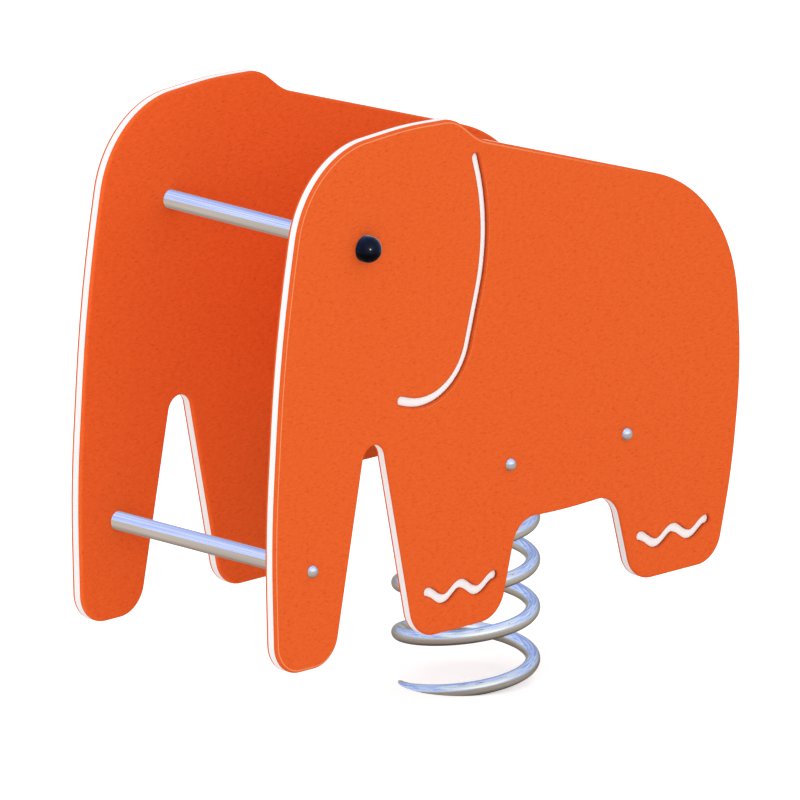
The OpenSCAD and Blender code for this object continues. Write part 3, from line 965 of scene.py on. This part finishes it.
class SubAssembly(ABC):
    """Pieces that are built and dressed together."""

    @abstractmethod
    def build(self) -> None:
        """Makes the pieces and dresses them."""

    @staticmethod
    def paint(piece: bpy.types.Object, slot: Slot, *nodes: str) -> None:
        """Gives a new piece its finish and the solids that it stands for, but no body.

        Args:
            piece: the new piece.
            slot: its material slot.
            nodes: the solids that it replaces.
        """
        piece.data.materials.clear()
        piece.data.materials.append(material_of(slot))
        piece.visible_glossy = slot in MIRRORED
        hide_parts(*nodes)
        LOG.info("%s: %d faces, for %s", piece.name, len(piece.data.polygons), ", ".join(nodes))

    def dress(self, piece: bpy.types.Object, slot: Slot, body: Body, *nodes: str) -> None:
        """Gives a new piece its finish, the solids that it stands for and its body."""
        self.paint(piece, slot, *nodes)
        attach(piece, body.value)

    @staticmethod
    def soften(slot: Slot, width: float, *nodes: str) -> None:
        """Gives solids that stay their finish and small rounded edges.

        Args:
            slot: their material slot.
            width: width of the rounding.
            nodes: the solids.
        """
        same_place, sharp = 1e-5, math.radians(40)
        for node in nodes:
            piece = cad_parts[node]
            piece.data.materials.clear()
            piece.data.materials.append(material_of(slot))
            piece.modifiers.new("Weld", "WELD").merge_threshold = same_place
            bevel = piece.modifiers.new("Softened edges", "BEVEL")
            bevel.width, bevel.segments = width * MM, 2
            bevel.limit_method, bevel.angle_limit = "ANGLE", sharp
            bevel.use_clamp_overlap = bevel.harden_normals = True
            LOG.info("%s: kept with softened edges", node)


class LayeredSheet(SubAssembly):
    """What is cut from the layered sheet: an orange skin, the white core and another skin."""

    def lay(
        self,
        outline: np.ndarray,
        level: float,
        axes: Axes,
        layers: list[tuple[str, str, list[Hole], Marker | None]],
    ) -> None:
        """Makes the three layers and dresses them.

        Args:
            outline: the drawn outline.
            level: where the first skin starts.
            axes: where the drawing lies.
            layers: name, solid, holes and marker of painted light along the outline of each layer.
        """
        skin, core, r = SHEET.skin_t, SHEET.core_t, SHEET.edge_r
        makes = (
            (Slot.ORANGE, skin, r, 0.0), (Slot.WHITE, core, 0.0, 0.0), (Slot.ORANGE, skin, 0.0, r)
        )
        for (name, node, holes, rub), (slot, t, *edges) in zip(layers, makes):
            slab = Slab(outline, level, level + t, *edges, holes, rub)
            self.dress(slab.build(name, axes), slot, Body.RIDER, node)
            level += t


@dataclass
class SidePanel(LayeredSheet):
    """One elephant-shaped side panel with its routed ear and toe lines, drawn above the ground."""

    side: Side
    head_top: float = 850.0
    trunk_front: float = 553.0
    rump_back: float = 329.0
    rump_slant: float = 46.0
    nape_y: float = -167.0
    nape_drop: float = 40.0
    back_slope: float = 0.326
    foot_z: float = 144.0
    trunk_tip_z: float = 141.0
    belly_z: float = 269.0
    notch_top: float = 426.0
    notch_y: float = -364.0
    notch_w: float = 35.0
    foot_r: float = 45.0
    leg_w: float = 158.0
    leg_slant: float = 34.0
    front_leg_y: float = 128.0
    groove_w: float = 12.0
    groove_lip: float = 1.6
    # How far from a groove its painted highlight line lies.
    groove_light_line: float = 3.8
    toe_rise: float = 54.0
    toe_wave: float = 7.5
    toe_pitch: float = 63.0
    toe_shift: float = 4.5
    toe_steps: int = 97
    # Where the painted highlight runs along the outline.
    light_back_y: float = -150.0
    light_above_notch: float = 110.0
    light_front_w: float = 112.0
    # How strong the painted highlight on the ear line's lip is, and where it runs.
    ear_light: float = 0.45
    ear_light_way: Point = (0.77, -0.64)
    ear_light_from: float = 0.55
    ear_light_rise: float = 10.0

    def outline(self) -> np.ndarray:
        """Draws the panel's outline from the trunk's tip, over head and rump, to the legs.

        Returns:
            The outline as [y, z].
        """
        top, front, back, foot = self.head_top, -self.trunk_front, self.rump_back, self.foot_z
        tip, belly, r = self.trunk_tip_z, self.belly_z, self.foot_r
        rear, fore, half = back - self.rump_slant, -self.front_leg_y, self.notch_w / 2
        rump_y, nape_z = back - 18, top - self.nape_drop
        rump_z = nape_z - self.back_slope * (rump_y - self.nape_y)
        return rounded_polygon([
            (front + 6, tip, r), (front, tip + 190, 1500), (front + 18.5, top - 250, 2000),
            (front + 65, top - 9, 141), (-300, top + 1, 600), (-213, top - 4, 65),
            (self.nape_y, nape_z, 90), (rump_y, rump_z, 222),
            (back + 2, foot + 268, 670), (back - 16, foot + 122, 800),
            (rear, foot, r), (rear - self.leg_w, foot, r),
            (rear - self.leg_w - self.leg_slant, belly + 4, 41),
            (0, belly, 1100), (fore + self.leg_slant, belly + 4, 40),
            (fore, foot, r), (fore - self.leg_w, foot, r),
            (self.notch_y + half, self.notch_top, 21), (self.notch_y - half, self.notch_top, 21),
            (front + 114, tip, r),
        ])

    def grooves(self) -> list[np.ndarray]:
        """Draws the routed lines.

        Returns:
            The loops of the ear and of the toes of both feet.
        """
        top, low = self.head_top, self.notch_top
        ear = rounded_path([
            (-175, top - 64, 0), (-147, top - 165, 310), (-214, low + 21, 87), (-315, low + 52, 0)
        ])
        across = np.linspace(-self.toe_pitch, self.toe_pitch, self.toe_steps)
        wave = self.toe_wave * np.cos(2 * math.pi * across / self.toe_pitch)
        wave += self.foot_z + self.toe_rise
        front = -self.front_leg_y - self.leg_w / 2 + self.toe_shift
        rear = self.rump_back - self.rump_slant - self.leg_w / 2 - self.toe_shift
        toes = [np.column_stack((middle + across, wave)) for middle in (front, rear)]
        return [stroke(path, self.groove_w) for path in (ear, *toes)]

    def round_head(self, loop: np.ndarray, side: np.ndarray) -> np.ndarray:
        """Marks where a pale highlight line is painted along the outline: round the trunk's front,
        head and nape.

        Args:
            loop: the outline.
            side: the direction into the material at each point; not used.

        Returns:
            1 where the highlight is painted and 0 elsewhere.
        """
        (y, z), low = loop.T, GROUND + self.notch_top + self.light_above_notch
        shown = (z > low) | (y < self.light_front_w - self.trunk_front)
        return (shown & (y < self.light_back_y)).astype(float)

    def below_ear(self, loop: np.ndarray, side: np.ndarray) -> np.ndarray:
        """Returns how strong the painted highlight on the ear line's lip is: behind it and round
        its lower bend.
        """
        behind = self.ear_light_rise * (side @ self.ear_light_way - self.ear_light_from)
        return self.ear_light * np.clip(behind, 0, 1)

    def build(self) -> None:
        """Makes the three layers and dresses them."""
        lift = np.array((0.0, GROUND))
        bars = (HANDLEBAR, FOOTREST)
        bolts = [Hole(circle(place, SHEET.bolt_hole_r)) for place in CARRIER_BOLTS]
        rounds = [circle(place, SHEET.socket_r, SHEET.socket_sides) for place in bars]
        sockets = bolts + [Hole(loop, SHEET.socket_lip) for loop in rounds]
        through = bolts + [Hole(circle(place, SHEET.bolt_hole_r)) for place in bars]
        # Painted light: the white core's whole upper face is painted paler, which shows as the
        # groove floors.
        bright = [replace(hole, rub=everywhere) for hole in through]
        # The grooves get painted shade in their lips and walls, and the ear line a painted
        # highlight.
        lines = [
            Hole(loop + lift, self.groove_lip, dark=1.0, painted_light_at=self.groove_light_line)
            for loop in self.grooves()
        ]
        lines[0].rub = self.below_ear
        name = self.side.name.lower()
        axes = Axes((0, 1, 0), (0, 0, 1), (self.side.value, 0, 0))
        self.lay(self.outline() + lift, SHEET.panel_in, axes, [
            (f"{name}_inner_sheet", f"{name}_panel_inner_skin", sockets, None),
            (f"{name}_white_core", f"{name}_panel_core", bright, everywhere),
            (f"{name}_outer_sheet", f"{name}_panel_outer_skin", through + lines, self.round_head),
        ])


@dataclass
class SeatBoard(LayeredSheet):
    """The seat board, lying on the carrier between the panels."""

    half_w: float = 172.0
    front: float = -160.0
    back: float = 240.0
    corner_r: float = 30.0
    bolt_reach: Point = (129.0, 100.0)

    def bolts(self) -> list[Place]:
        """Returns the places of its bolts on its upper face, with the direction up."""
        (x, y), z = self.bolt_reach, CARRIER_TOP + SHEET.thickness
        return [(Vector((a, b, z)), Vector((0, 0, 1))) for a in (-x, x) for b in (-y, y)]

    def build(self) -> None:
        """Makes the three layers and dresses them."""
        outline = rounded_box((-self.half_w, self.front), (self.half_w, self.back), self.corner_r)
        holes = [Hole(circle(place.xy, SHEET.bolt_hole_r)) for place, _ in self.bolts()]
        names = ("seat_under_sheet", "seat_white_core", "seat_upper_sheet")
        nodes = ("seat_bottom_skin", "seat_core", "seat_top_skin")
        layers = [(name, node, holes, None) for name, node in zip(names, nodes)]
        self.lay(outline, CARRIER_TOP, LEVEL, layers)


@dataclass
class SeatCarrier(SubAssembly):
    """The folded channel that joins panels, seat board and spring."""

    thickness: float = 8.0
    length: float = 280.0
    drop: float = 45.0
    bend_r: float = 4.0
    lip_r: float = 1.0
    edge_r: float = 0.8

    def build(self) -> None:
        """Makes the channel and dresses it, with the clamps and fasteners under it."""
        out, t, r, lip = SHEET.panel_in, self.thickness, self.bend_r, self.lip_r
        top, low, inner = CARRIER_TOP, CARRIER_TOP - self.drop, SHEET.panel_in - t
        profile = rounded_polygon([
            (-out, low, lip), (-inner, low, lip), (-inner, top - t, r), (inner, top - t, r),
            (inner, low, lip), (out, low, lip), (out, top, r + t), (-out, top, r + t),
        ])
        slab = Slab(profile, -self.length / 2, self.length / 2, self.edge_r, self.edge_r)
        piece = slab.build("folded_carrier", Axes((1, 0, 0), (0, 0, 1), (0, -1, 0)))
        self.dress(piece, Slot.ZINC, Body.RIDER, "seat_carrier")
        self.soften(Slot.ZINC, BLOCK_EDGE, "upper_clamp_1", "upper_clamp_2", "upper_clamp_3")
        fasteners = ("upper_clamp_bolts", "seat_nuts", "carrier_nuts", "carrier_washers")
        self.soften(Slot.FASTENER, BOLT_EDGE, *fasteners)


@dataclass
class Bar(SubAssembly):
    """A stainless bar between the panels, with plugs in its ends."""

    name: str
    place: Point
    radius: float = 12.5
    wall: float = 2.0
    steps: int = 25
    sides: int = 96

    def build(self) -> None:
        """Makes the tube and dresses it and its plugs."""
        half, inner = SHEET.core_in, self.radius - self.wall
        outside = [(x, self.radius) for x in np.linspace(-half, half, self.steps)]
        section = [(-half, inner), *outside, (half, inner), (-half, inner)]
        shell = Shell()
        tube = Turning(section, self.sides)
        tube.add_to(shell, Vector((0, *self.place)), Vector((1, 0, 0)))
        self.dress(shell.piece(f"{self.name}_bar"), Slot.BAR, Body.RIDER, f"{self.name}_tube")
        self.soften(Slot.ZINC, SMALL_EDGE, f"{self.name}_plugs")


@dataclass
class DomedBolts(SubAssembly):
    """A set of bolts with domed heads."""

    name: str
    node: str
    places: list[Place]
    length: float
    radius: float = 4.0
    tip: float = 0.6
    head_r: float = 8.25
    head_h: float = 8.0
    rim: tuple[Point, ...] = ((0.0, 0.35), (0.12, 0.12), (0.4, 0.08))
    rim_angle: float = 2.5
    dome_steps: int = 24
    sides: int = 48

    def section(self) -> list[Point]:
        """Draws the bolt from the end of its shank to the top of its head.

        Returns:
            The section.
        """
        end, r, head = -self.length, self.radius, self.head_r
        ball = (head**2 + self.head_h**2) / (2 * self.head_h)
        spread = math.degrees(math.asin(head / ball))
        shank = [(end, 0.0), (end, r - self.tip), (end + self.tip, r), (0.0, r)]
        rim = [(along, head - inset) for along, inset in self.rim]
        start = spread - self.rim_angle
        dome = arc(self.head_h - ball, 0.0, ball, start, 0.0, self.dome_steps)
        return [*shank, *rim, *dome]

    def build(self) -> None:
        """Makes the bolts as one piece and dresses it."""
        shell = Shell()
        for origin, axis in self.places:
            Turning(self.section(), self.sides).add_to(shell, origin, axis)
        self.dress(shell.piece(self.name), Slot.FASTENER, Body.RIDER, self.node)


@dataclass
class EyeCaps(SubAssembly):
    """The black caps over the handlebar's hexagon bolts, which stay with their washers."""

    radius: float = 18.0
    skirt: float = 6.5
    brim_r: float = 0.8
    bore_r: float = 11.45
    bore_h: float = 8.88
    brim_steps: int = 7
    dome_steps: int = 40
    sides: int = 96

    def build(self) -> None:
        """Makes the caps and dresses them and the fixings."""
        self.soften(Slot.FASTENER, SMALL_EDGE, "handlebar_bolts", "handlebar_washers")
        r, brim = self.radius, self.brim_r
        section = [(self.bore_h, 0.0), (self.bore_h, self.bore_r), (0.0, self.bore_r)]
        section += arc(brim, r - brim, brim, 180, 90, self.brim_steps)
        section += arc(self.skirt, 0.0, r, 90, 0, self.dome_steps)
        for side, place in zip(Side, on_panels(HANDLEBAR)):
            shell, name = Shell(), side.name.lower()
            Turning(section, self.sides).add_to(shell, *place)
            self.dress(shell.piece(f"{name}_eye"), Slot.EYE, Body.RIDER, f"eye_cap_{name}")


@dataclass
class CoilSpring(SubAssembly):
    """The spring: one wire, in two pieces below and above its middle."""

    od: float = 200.0
    wire_d: float = 20.0
    pitch_low: float = 80.0
    pitch_high: float = 58.0
    pitch_drop: float = 6.2
    coil_start: float = 110.0
    low_z: float = 22.3
    high_z: float = 416.7
    bend_turns: float = 0.05
    clamp_depth: float = 27.2
    seat_spare: float = 0.02
    split_z: float = 217.5
    low_bend_m: Point = (0.046, 0.204)
    high_bend_m: Point = (0.231, 0.389)
    rings_per_turn: int = 96
    sides: int = 28

    @property
    def coil_r(self) -> float:
        """Radius of the wire's centre line."""
        return (self.od - self.wire_d) / 2

    @property
    def even_from(self) -> float:
        """Turns from the end of the lower seat to the even pitch."""
        return (self.pitch_low - self.pitch_high) / self.pitch_drop

    @property
    def free_turns(self) -> float:
        """Turns between the two seats."""
        even_rise = self.high_z - self.low_z - self.steep(self.even_from)
        return self.even_from + even_rise / self.pitch_high

    @property
    def seat_turns(self) -> float:
        """Turns of each flat seat."""
        return 1 - self.clamp_depth / self.pitch_high + self.seat_spare

    def steep(self, u: float) -> float:
        """Returns the rise of the part whose pitch falls."""
        return self.pitch_low * u - self.pitch_drop * u * u / 2

    def height(self, u: float) -> float:
        """Finds the wire's height.

        Args:
            u: turns from the end of the lower seat.

        Returns:
            The height of its centre.
        """
        b, free = self.bend_turns, self.free_turns
        if u < -b:
            return self.low_z
        if u < b:
            return self.low_z + self.pitch_low * (u + b) ** 2 / (4 * b)
        if u < self.even_from:
            return self.low_z + self.steep(u)
        if u < free - b:
            even = self.pitch_high * (u - self.even_from)
            return self.low_z + self.steep(self.even_from) + even
        if u < free + b:
            return self.high_z - self.pitch_high * (free - u + b) ** 2 / (4 * b)
        return self.high_z

    def centre(self, u: float) -> np.ndarray:
        """Finds the wire's centre, with straight ends past its seats.

        Args:
            u: turns from the end of the lower seat.

        Returns:
            The centre.
        """
        held = min(max(u, -self.seat_turns), self.free_turns + self.seat_turns)
        a, r = math.radians(self.coil_start + 360 * held), self.coil_r
        past = (u - held) * 2 * math.pi * r
        x, y = r * math.cos(a) - past * math.sin(a), r * math.sin(a) + past * math.cos(a)
        return np.array((x, y, self.height(u)))

    def tube(self, name: str, start: float, end: float) -> bpy.types.Object:
        """Makes the wire between two turns.

        Args:
            name: the piece's name.
            start: first turn.
            end: last turn.

        Returns:
            The new piece.
        """
        shell, r, tiny = Shell(), self.wire_d / 2, 1e-4
        turns = np.linspace(start, end, math.ceil((end - start) * self.rings_per_turn) + 1)
        t = np.linspace(0, 2 * math.pi, self.sides + 1)
        run, before, rings = 0.0, self.centre(start), []
        for u in turns:
            here, a = self.centre(u), math.radians(self.coil_start + 360 * u)
            ahead = self.centre(u + tiny) - self.centre(u - tiny)
            ahead /= np.linalg.norm(ahead)
            out = np.array((math.cos(a), math.sin(a), 0.0))
            out -= (out @ ahead) * ahead
            out /= np.linalg.norm(out)
            spokes = np.outer(np.cos(t), out) + np.outer(np.sin(t), np.cross(ahead, out))
            run += float(np.linalg.norm(here - before))
            before = here
            uv = np.column_stack((np.full(len(t), run), t * r)) * MM
            rings.append(shell.ring(here + spokes * r, spokes, uv))
            if u in (turns[0], turns[-1]):
                way = 1 if u == turns[-1] else -1
                cap = shell.ring(here + spokes[:-1] * r, np.tile(ahead * way, (self.sides, 1)))
                shell.faces.append(tuple(range(cap, cap + self.sides))[::way])
        for low, high in zip(rings, rings[1:]):
            shell.bridge(low, high, len(t), closed=False)
        return shell.piece(name)

    def build(self) -> None:
        """Makes both pieces and gives them their finish."""
        tail = self.wire_d / (2 * math.pi * self.coil_r)
        first, last = -self.seat_turns - tail, self.free_turns + self.seat_turns + tail
        low, high = 0.0, self.free_turns
        while high - low > 1e-7:
            middle = (low + high) / 2
            low, high = (middle, high) if self.height(middle) < self.split_z else (low, middle)
        for name, turns, bodies, (z0, z1) in (
            ("lower_coils", (first, low), (Body.BASE, Body.COIL), self.low_bend_m),
            ("upper_coils", (low, last), (Body.COIL, Body.RIDER), self.high_bend_m),
        ):
            piece = self.tube(name, *turns)
            self.paint(piece, Slot.SPRING, "spring")
            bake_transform(piece)


@dataclass
class GroundFixing(SubAssembly):
    """The buried base plate with its anchor holes, and the clamps on it."""

    side: float = 320.0
    thickness: float = 12.0
    corner_r: float = 20.0
    edge_r: float = 1.0
    anchor_reach: float = 130.0
    anchor_r: float = 7.0
    anchor_lip: float = 0.6
    clamps: int = 3
    clamp_w: float = 30.0
    clamp_spare: float = 0.01
    bolt_reach: float = 21.45
    thread_r: float = 5.05
    thread_lip: float = 0.2

    def clamp_bolts(self) -> list[Point]:
        """Finds the tapped bores, one on each side of the wire under every clamp.

        Returns:
            Their places.
        """
        coil = CoilSpring()
        half = math.asin(self.clamp_w / 2 / coil.coil_r) / (2 * math.pi)
        first = coil.bend_turns + half + self.clamp_spare
        last = coil.seat_turns - half - coil.seat_spare
        angles = np.radians(coil.coil_start - 360 * np.linspace(first, last, self.clamps))
        reaches = (coil.coil_r - self.bolt_reach, coil.coil_r + self.bolt_reach)
        return [(r * math.cos(a), r * math.sin(a)) for a in angles for r in reaches]

    def build(self) -> None:
        """Makes the plate and dresses it and the clamps, which stay as solids."""
        w, reach = self.side / 2, (-self.anchor_reach, self.anchor_reach)
        outline = rounded_box((-w, -w), (w, w), self.corner_r)
        anchors = [(x, y) for x in reach for y in reach]
        holes = [Hole(circle(place, self.anchor_r), self.anchor_lip) for place in anchors]
        holes += [
            Hole(circle(place, self.thread_r), self.thread_lip) for place in self.clamp_bolts()
        ]
        slab = Slab(outline, 0.0, self.thickness, self.edge_r, self.edge_r, holes)
        self.dress(slab.build("ground_plate", LEVEL), Slot.ZINC, Body.BASE, "base_plate")
        names = (f"lower_clamp_{i + 1}" for i in range(self.clamps))
        self.soften(Slot.ZINC, BLOCK_EDGE, *names)
        self.soften(Slot.FASTENER, BOLT_EDGE, "lower_clamp_bolts")


# Studio, with sizes in metres


@dataclass(frozen=True)
class Lamp:
    """A square soft lamp that faces the rider: it lights all or some pieces, or only glints."""

    name: str
    place: Direction
    size: float
    radiance: float
    only: tuple[str, ...] = ()
    glint: bool = False
    aim: Direction = (0, -0.1, 0.5)

    def build(self) -> None:
        """Adds the lamp to the scene."""
        data = bpy.data.lights.new(self.name, "AREA")
        data.shape, data.size = "SQUARE", self.size
        data.energy = self.radiance * math.pi * self.size**2
        lamp = bpy.data.objects.new(self.name, data)
        lamp.location = self.place
        lamp.rotation_mode = "QUATERNION"
        ahead = Vector(self.aim) - Vector(self.place)
        lamp.rotation_quaternion = ahead.to_track_quat("-Z", "Y")
        lamp.visible_camera = False
        lamp.visible_diffuse, lamp.visible_glossy = not self.glint, self.glint
        if self.only:
            lit = bpy.data.collections.new(self.name)
            for piece in self.only:
                lit.objects.link(bpy.data.objects[piece])
            lamp.light_linking.receiver_collection = lit
        bpy.context.scene.collection.objects.link(lamp)


LAMPS = (
    Lamp("Front lamp", (2.9, -3.8, 2.2), size=2.4, radiance=1.4),
    Lamp("Bay lamp", (2.4, -4.1, 1.5), size=2.0, radiance=1.8, only=("right_inner_sheet",)),
    Lamp("Line lamp", (4.5, 0.3, 0.7), size=1.6, radiance=2.2, only=("left_white_core",)),
    Lamp(
        "Eye lamp", (4.0, -2.3, 1.76), size=0.9, radiance=190.0, only=("left_eye", "right_eye"),
        glint=True,
    ),
)


@dataclass
class Studio:
    """The pale floor, the soft lamps, the white surroundings and the camera.

    The picture's scale holds at a plane before the spring's axis, and axis_pixel is where the axis
    meets the ground.
    """

    azimuth: float = 45.0
    elevation: float = 15.0
    pixels_per_m: float = 750.0
    axis_pixel: Point = (465.9, 677.7)
    picture: float = 800.0
    lens: float = 1700.0
    plane: float = 0.18
    sensor: float = 36.0
    clip_end: float = 200.0
    floor_r: float = 14.0
    floor_grey: Colour = (0.9, 0.9, 0.9)
    floor_glow: float = 0.5
    floor_mirrored: float = 0.08
    ceiling_r: float = 40.0
    ceiling_z: float = 6.0
    ceiling_glow: float = 2.45
    drift_scale: float = 0.32
    drift_span: Point = (0.42, 0.58)
    deep_blue: Colour = (0.25, 0.36, 1.0)
    pale_blue: Colour = (0.60, 0.75, 1.0)
    haze: Colour = (0.86, 0.93, 1.0)
    haze_at: Direction = (11.4, -3.6, 6.0)
    haze_span: Point = (15.0, 5.0)

    def camera(self) -> None:
        """Makes a long-lens camera at the photograph's angle."""
        a, e = math.radians(self.azimuth), math.radians(self.elevation)
        back = Vector((math.sin(a) * math.cos(e), -math.cos(a) * math.cos(e), math.sin(e)))
        right = Vector((math.cos(a), math.sin(a), 0))
        shift_x = (self.picture / 2 - self.axis_pixel[0]) / self.pixels_per_m
        shift_y = (self.axis_pixel[1] - self.picture / 2) / self.pixels_per_m
        target = Vector((0, 0, GROUND * MM)) + right * shift_x + back.cross(right) * shift_y
        away = self.picture / self.pixels_per_m * self.lens / self.sensor + self.plane
        data = bpy.data.cameras.new("Camera")
        data.lens, data.sensor_width, data.clip_end = self.lens, self.sensor, self.clip_end
        camera = bpy.data.objects.new("Camera", data)
        camera.location = target + back * away
        camera.rotation_mode = "QUATERNION"
        camera.rotation_quaternion = (-back).to_track_quat("-Z", "Y")
        bpy.context.scene.collection.objects.link(camera)
        bpy.context.scene.camera = camera

    @staticmethod
    def disc(
        name: str, coat: str, radius: float, z: float
    ) -> tuple[bpy.types.Object, NodeTree, Socket]:
        """Makes a flat round stage piece with an empty material.

        Args:
            name: the piece's name.
            coat: its material's name.
            radius: its radius.
            z: its height.

        Returns:
            The piece, its material's tree helper and the socket for its surface.
        """
        mesh = bpy.data.meshes.new(name)
        rim = [(x, y, z) for x, y in circle((0.0, 0.0), radius, steps=96)]
        mesh.from_pydata(rim, [], [tuple(range(len(rim)))])
        piece = bpy.data.objects.new(name, mesh)
        bpy.context.scene.collection.objects.link(piece)
        material = bpy.data.materials.new(coat)
        material.use_nodes = True
        material.node_tree.nodes.clear()
        mesh.materials.append(material)
        tree = NodeTree(material.node_tree)
        return piece, tree, tree.add("ShaderNodeOutputMaterial").inputs["Surface"]

    def floor(self) -> None:
        """Makes the pale floor at the finished ground, which keeps the shadow."""
        _, tree, surface = self.disc("Floor", "Pale floor", self.floor_r, GROUND * MM)
        path = tree.add("ShaderNodeLightPath").outputs
        mirrored = tree.math("MAXIMUM", path["Is Glossy Ray"], path["Is Transmission Ray"])
        seen = tree.math("MULTIPLY", path["Is Camera Ray"], self.floor_glow)
        glow = tree.math("MAXIMUM", seen, tree.math("MULTIPLY", mirrored, self.floor_mirrored))
        both = tree.add("ShaderNodeAddShader")
        for shader, target in (
            (tree.add("ShaderNodeBsdfDiffuse", in_Color=(*self.floor_grey, 1)), both.inputs[0]),
            (tree.add("ShaderNodeEmission", in_Strength=glow), both.inputs[1]),
            (both, surface),
        ):
            tree.feed(shader.outputs[0], target)

    def ceiling(self) -> None:
        """Makes a blue ceiling that only reflections see, with paler drifts and one hazy end."""
        size = (self.ceiling_r, self.ceiling_z)
        piece, tree, surface = self.disc("Ceiling", "Blue ceiling", *size)
        for ray in ("camera", "diffuse", "transmission", "volume_scatter", "shadow"):
            setattr(piece, f"visible_{ray}", False)
        place = tree.add("ShaderNodeTexCoord").outputs["Object"]
        drift = tree.span(tree.noise(place, self.drift_scale, detail=3.0), *self.drift_span)
        blue = tree.colour_mix(drift, self.deep_blue, self.pale_blue)
        apart = tree.math("DISTANCE", place, self.haze_at, kind="ShaderNodeVectorMath")
        colour = tree.colour_mix(tree.span(apart, *self.haze_span), blue, self.haze)
        glow = tree.add("ShaderNodeEmission", in_Color=colour, in_Strength=self.ceiling_glow)
        tree.feed(glow.outputs[0], surface)

    def surroundings(self) -> None:
        """Makes a white world that also lights the object softly."""
        world = bpy.data.worlds.new("Surroundings")
        world.use_nodes = True
        bpy.context.scene.world = world
        back = world.node_tree.nodes["Background"].inputs
        back["Color"].default_value, back["Strength"].default_value = (1, 1, 1, 1), 1.0

    def build(self) -> None:
        """Makes the whole studio."""
        self.camera()
        self.floor()
        self.ceiling()
        self.surroundings()
        for lamp in LAMPS:
            lamp.build()
        bpy.context.scene.view_settings.view_transform = "Standard"


def main() -> None:
    """Builds every sub-assembly in order."""
    logging.basicConfig(level=logging.INFO, format="%(name)s %(message)s")
    seat = SeatBoard()
    for part in (
        GroundFixing(),
        CoilSpring(),
        SeatCarrier(),
        seat,
        SidePanel(Side.LEFT),
        SidePanel(Side.RIGHT),
        Bar("handlebar", HANDLEBAR),
        Bar("footrest", FOOTREST),
        EyeCaps(),
        DomedBolts("seat_domes", "seat_bolts", seat.bolts(), length=37.4),
        DomedBolts("carrier_domes", "carrier_bolts", on_panels(*CARRIER_BOLTS), length=39.0),
        DomedBolts("footrest_domes", "footrest_bolts", on_panels(FOOTREST), length=37.5),
        Studio(),
    ):
        LOG.info("building %s", type(part).__name__)
        part.build()


if __name__ == "__main__":
    main()
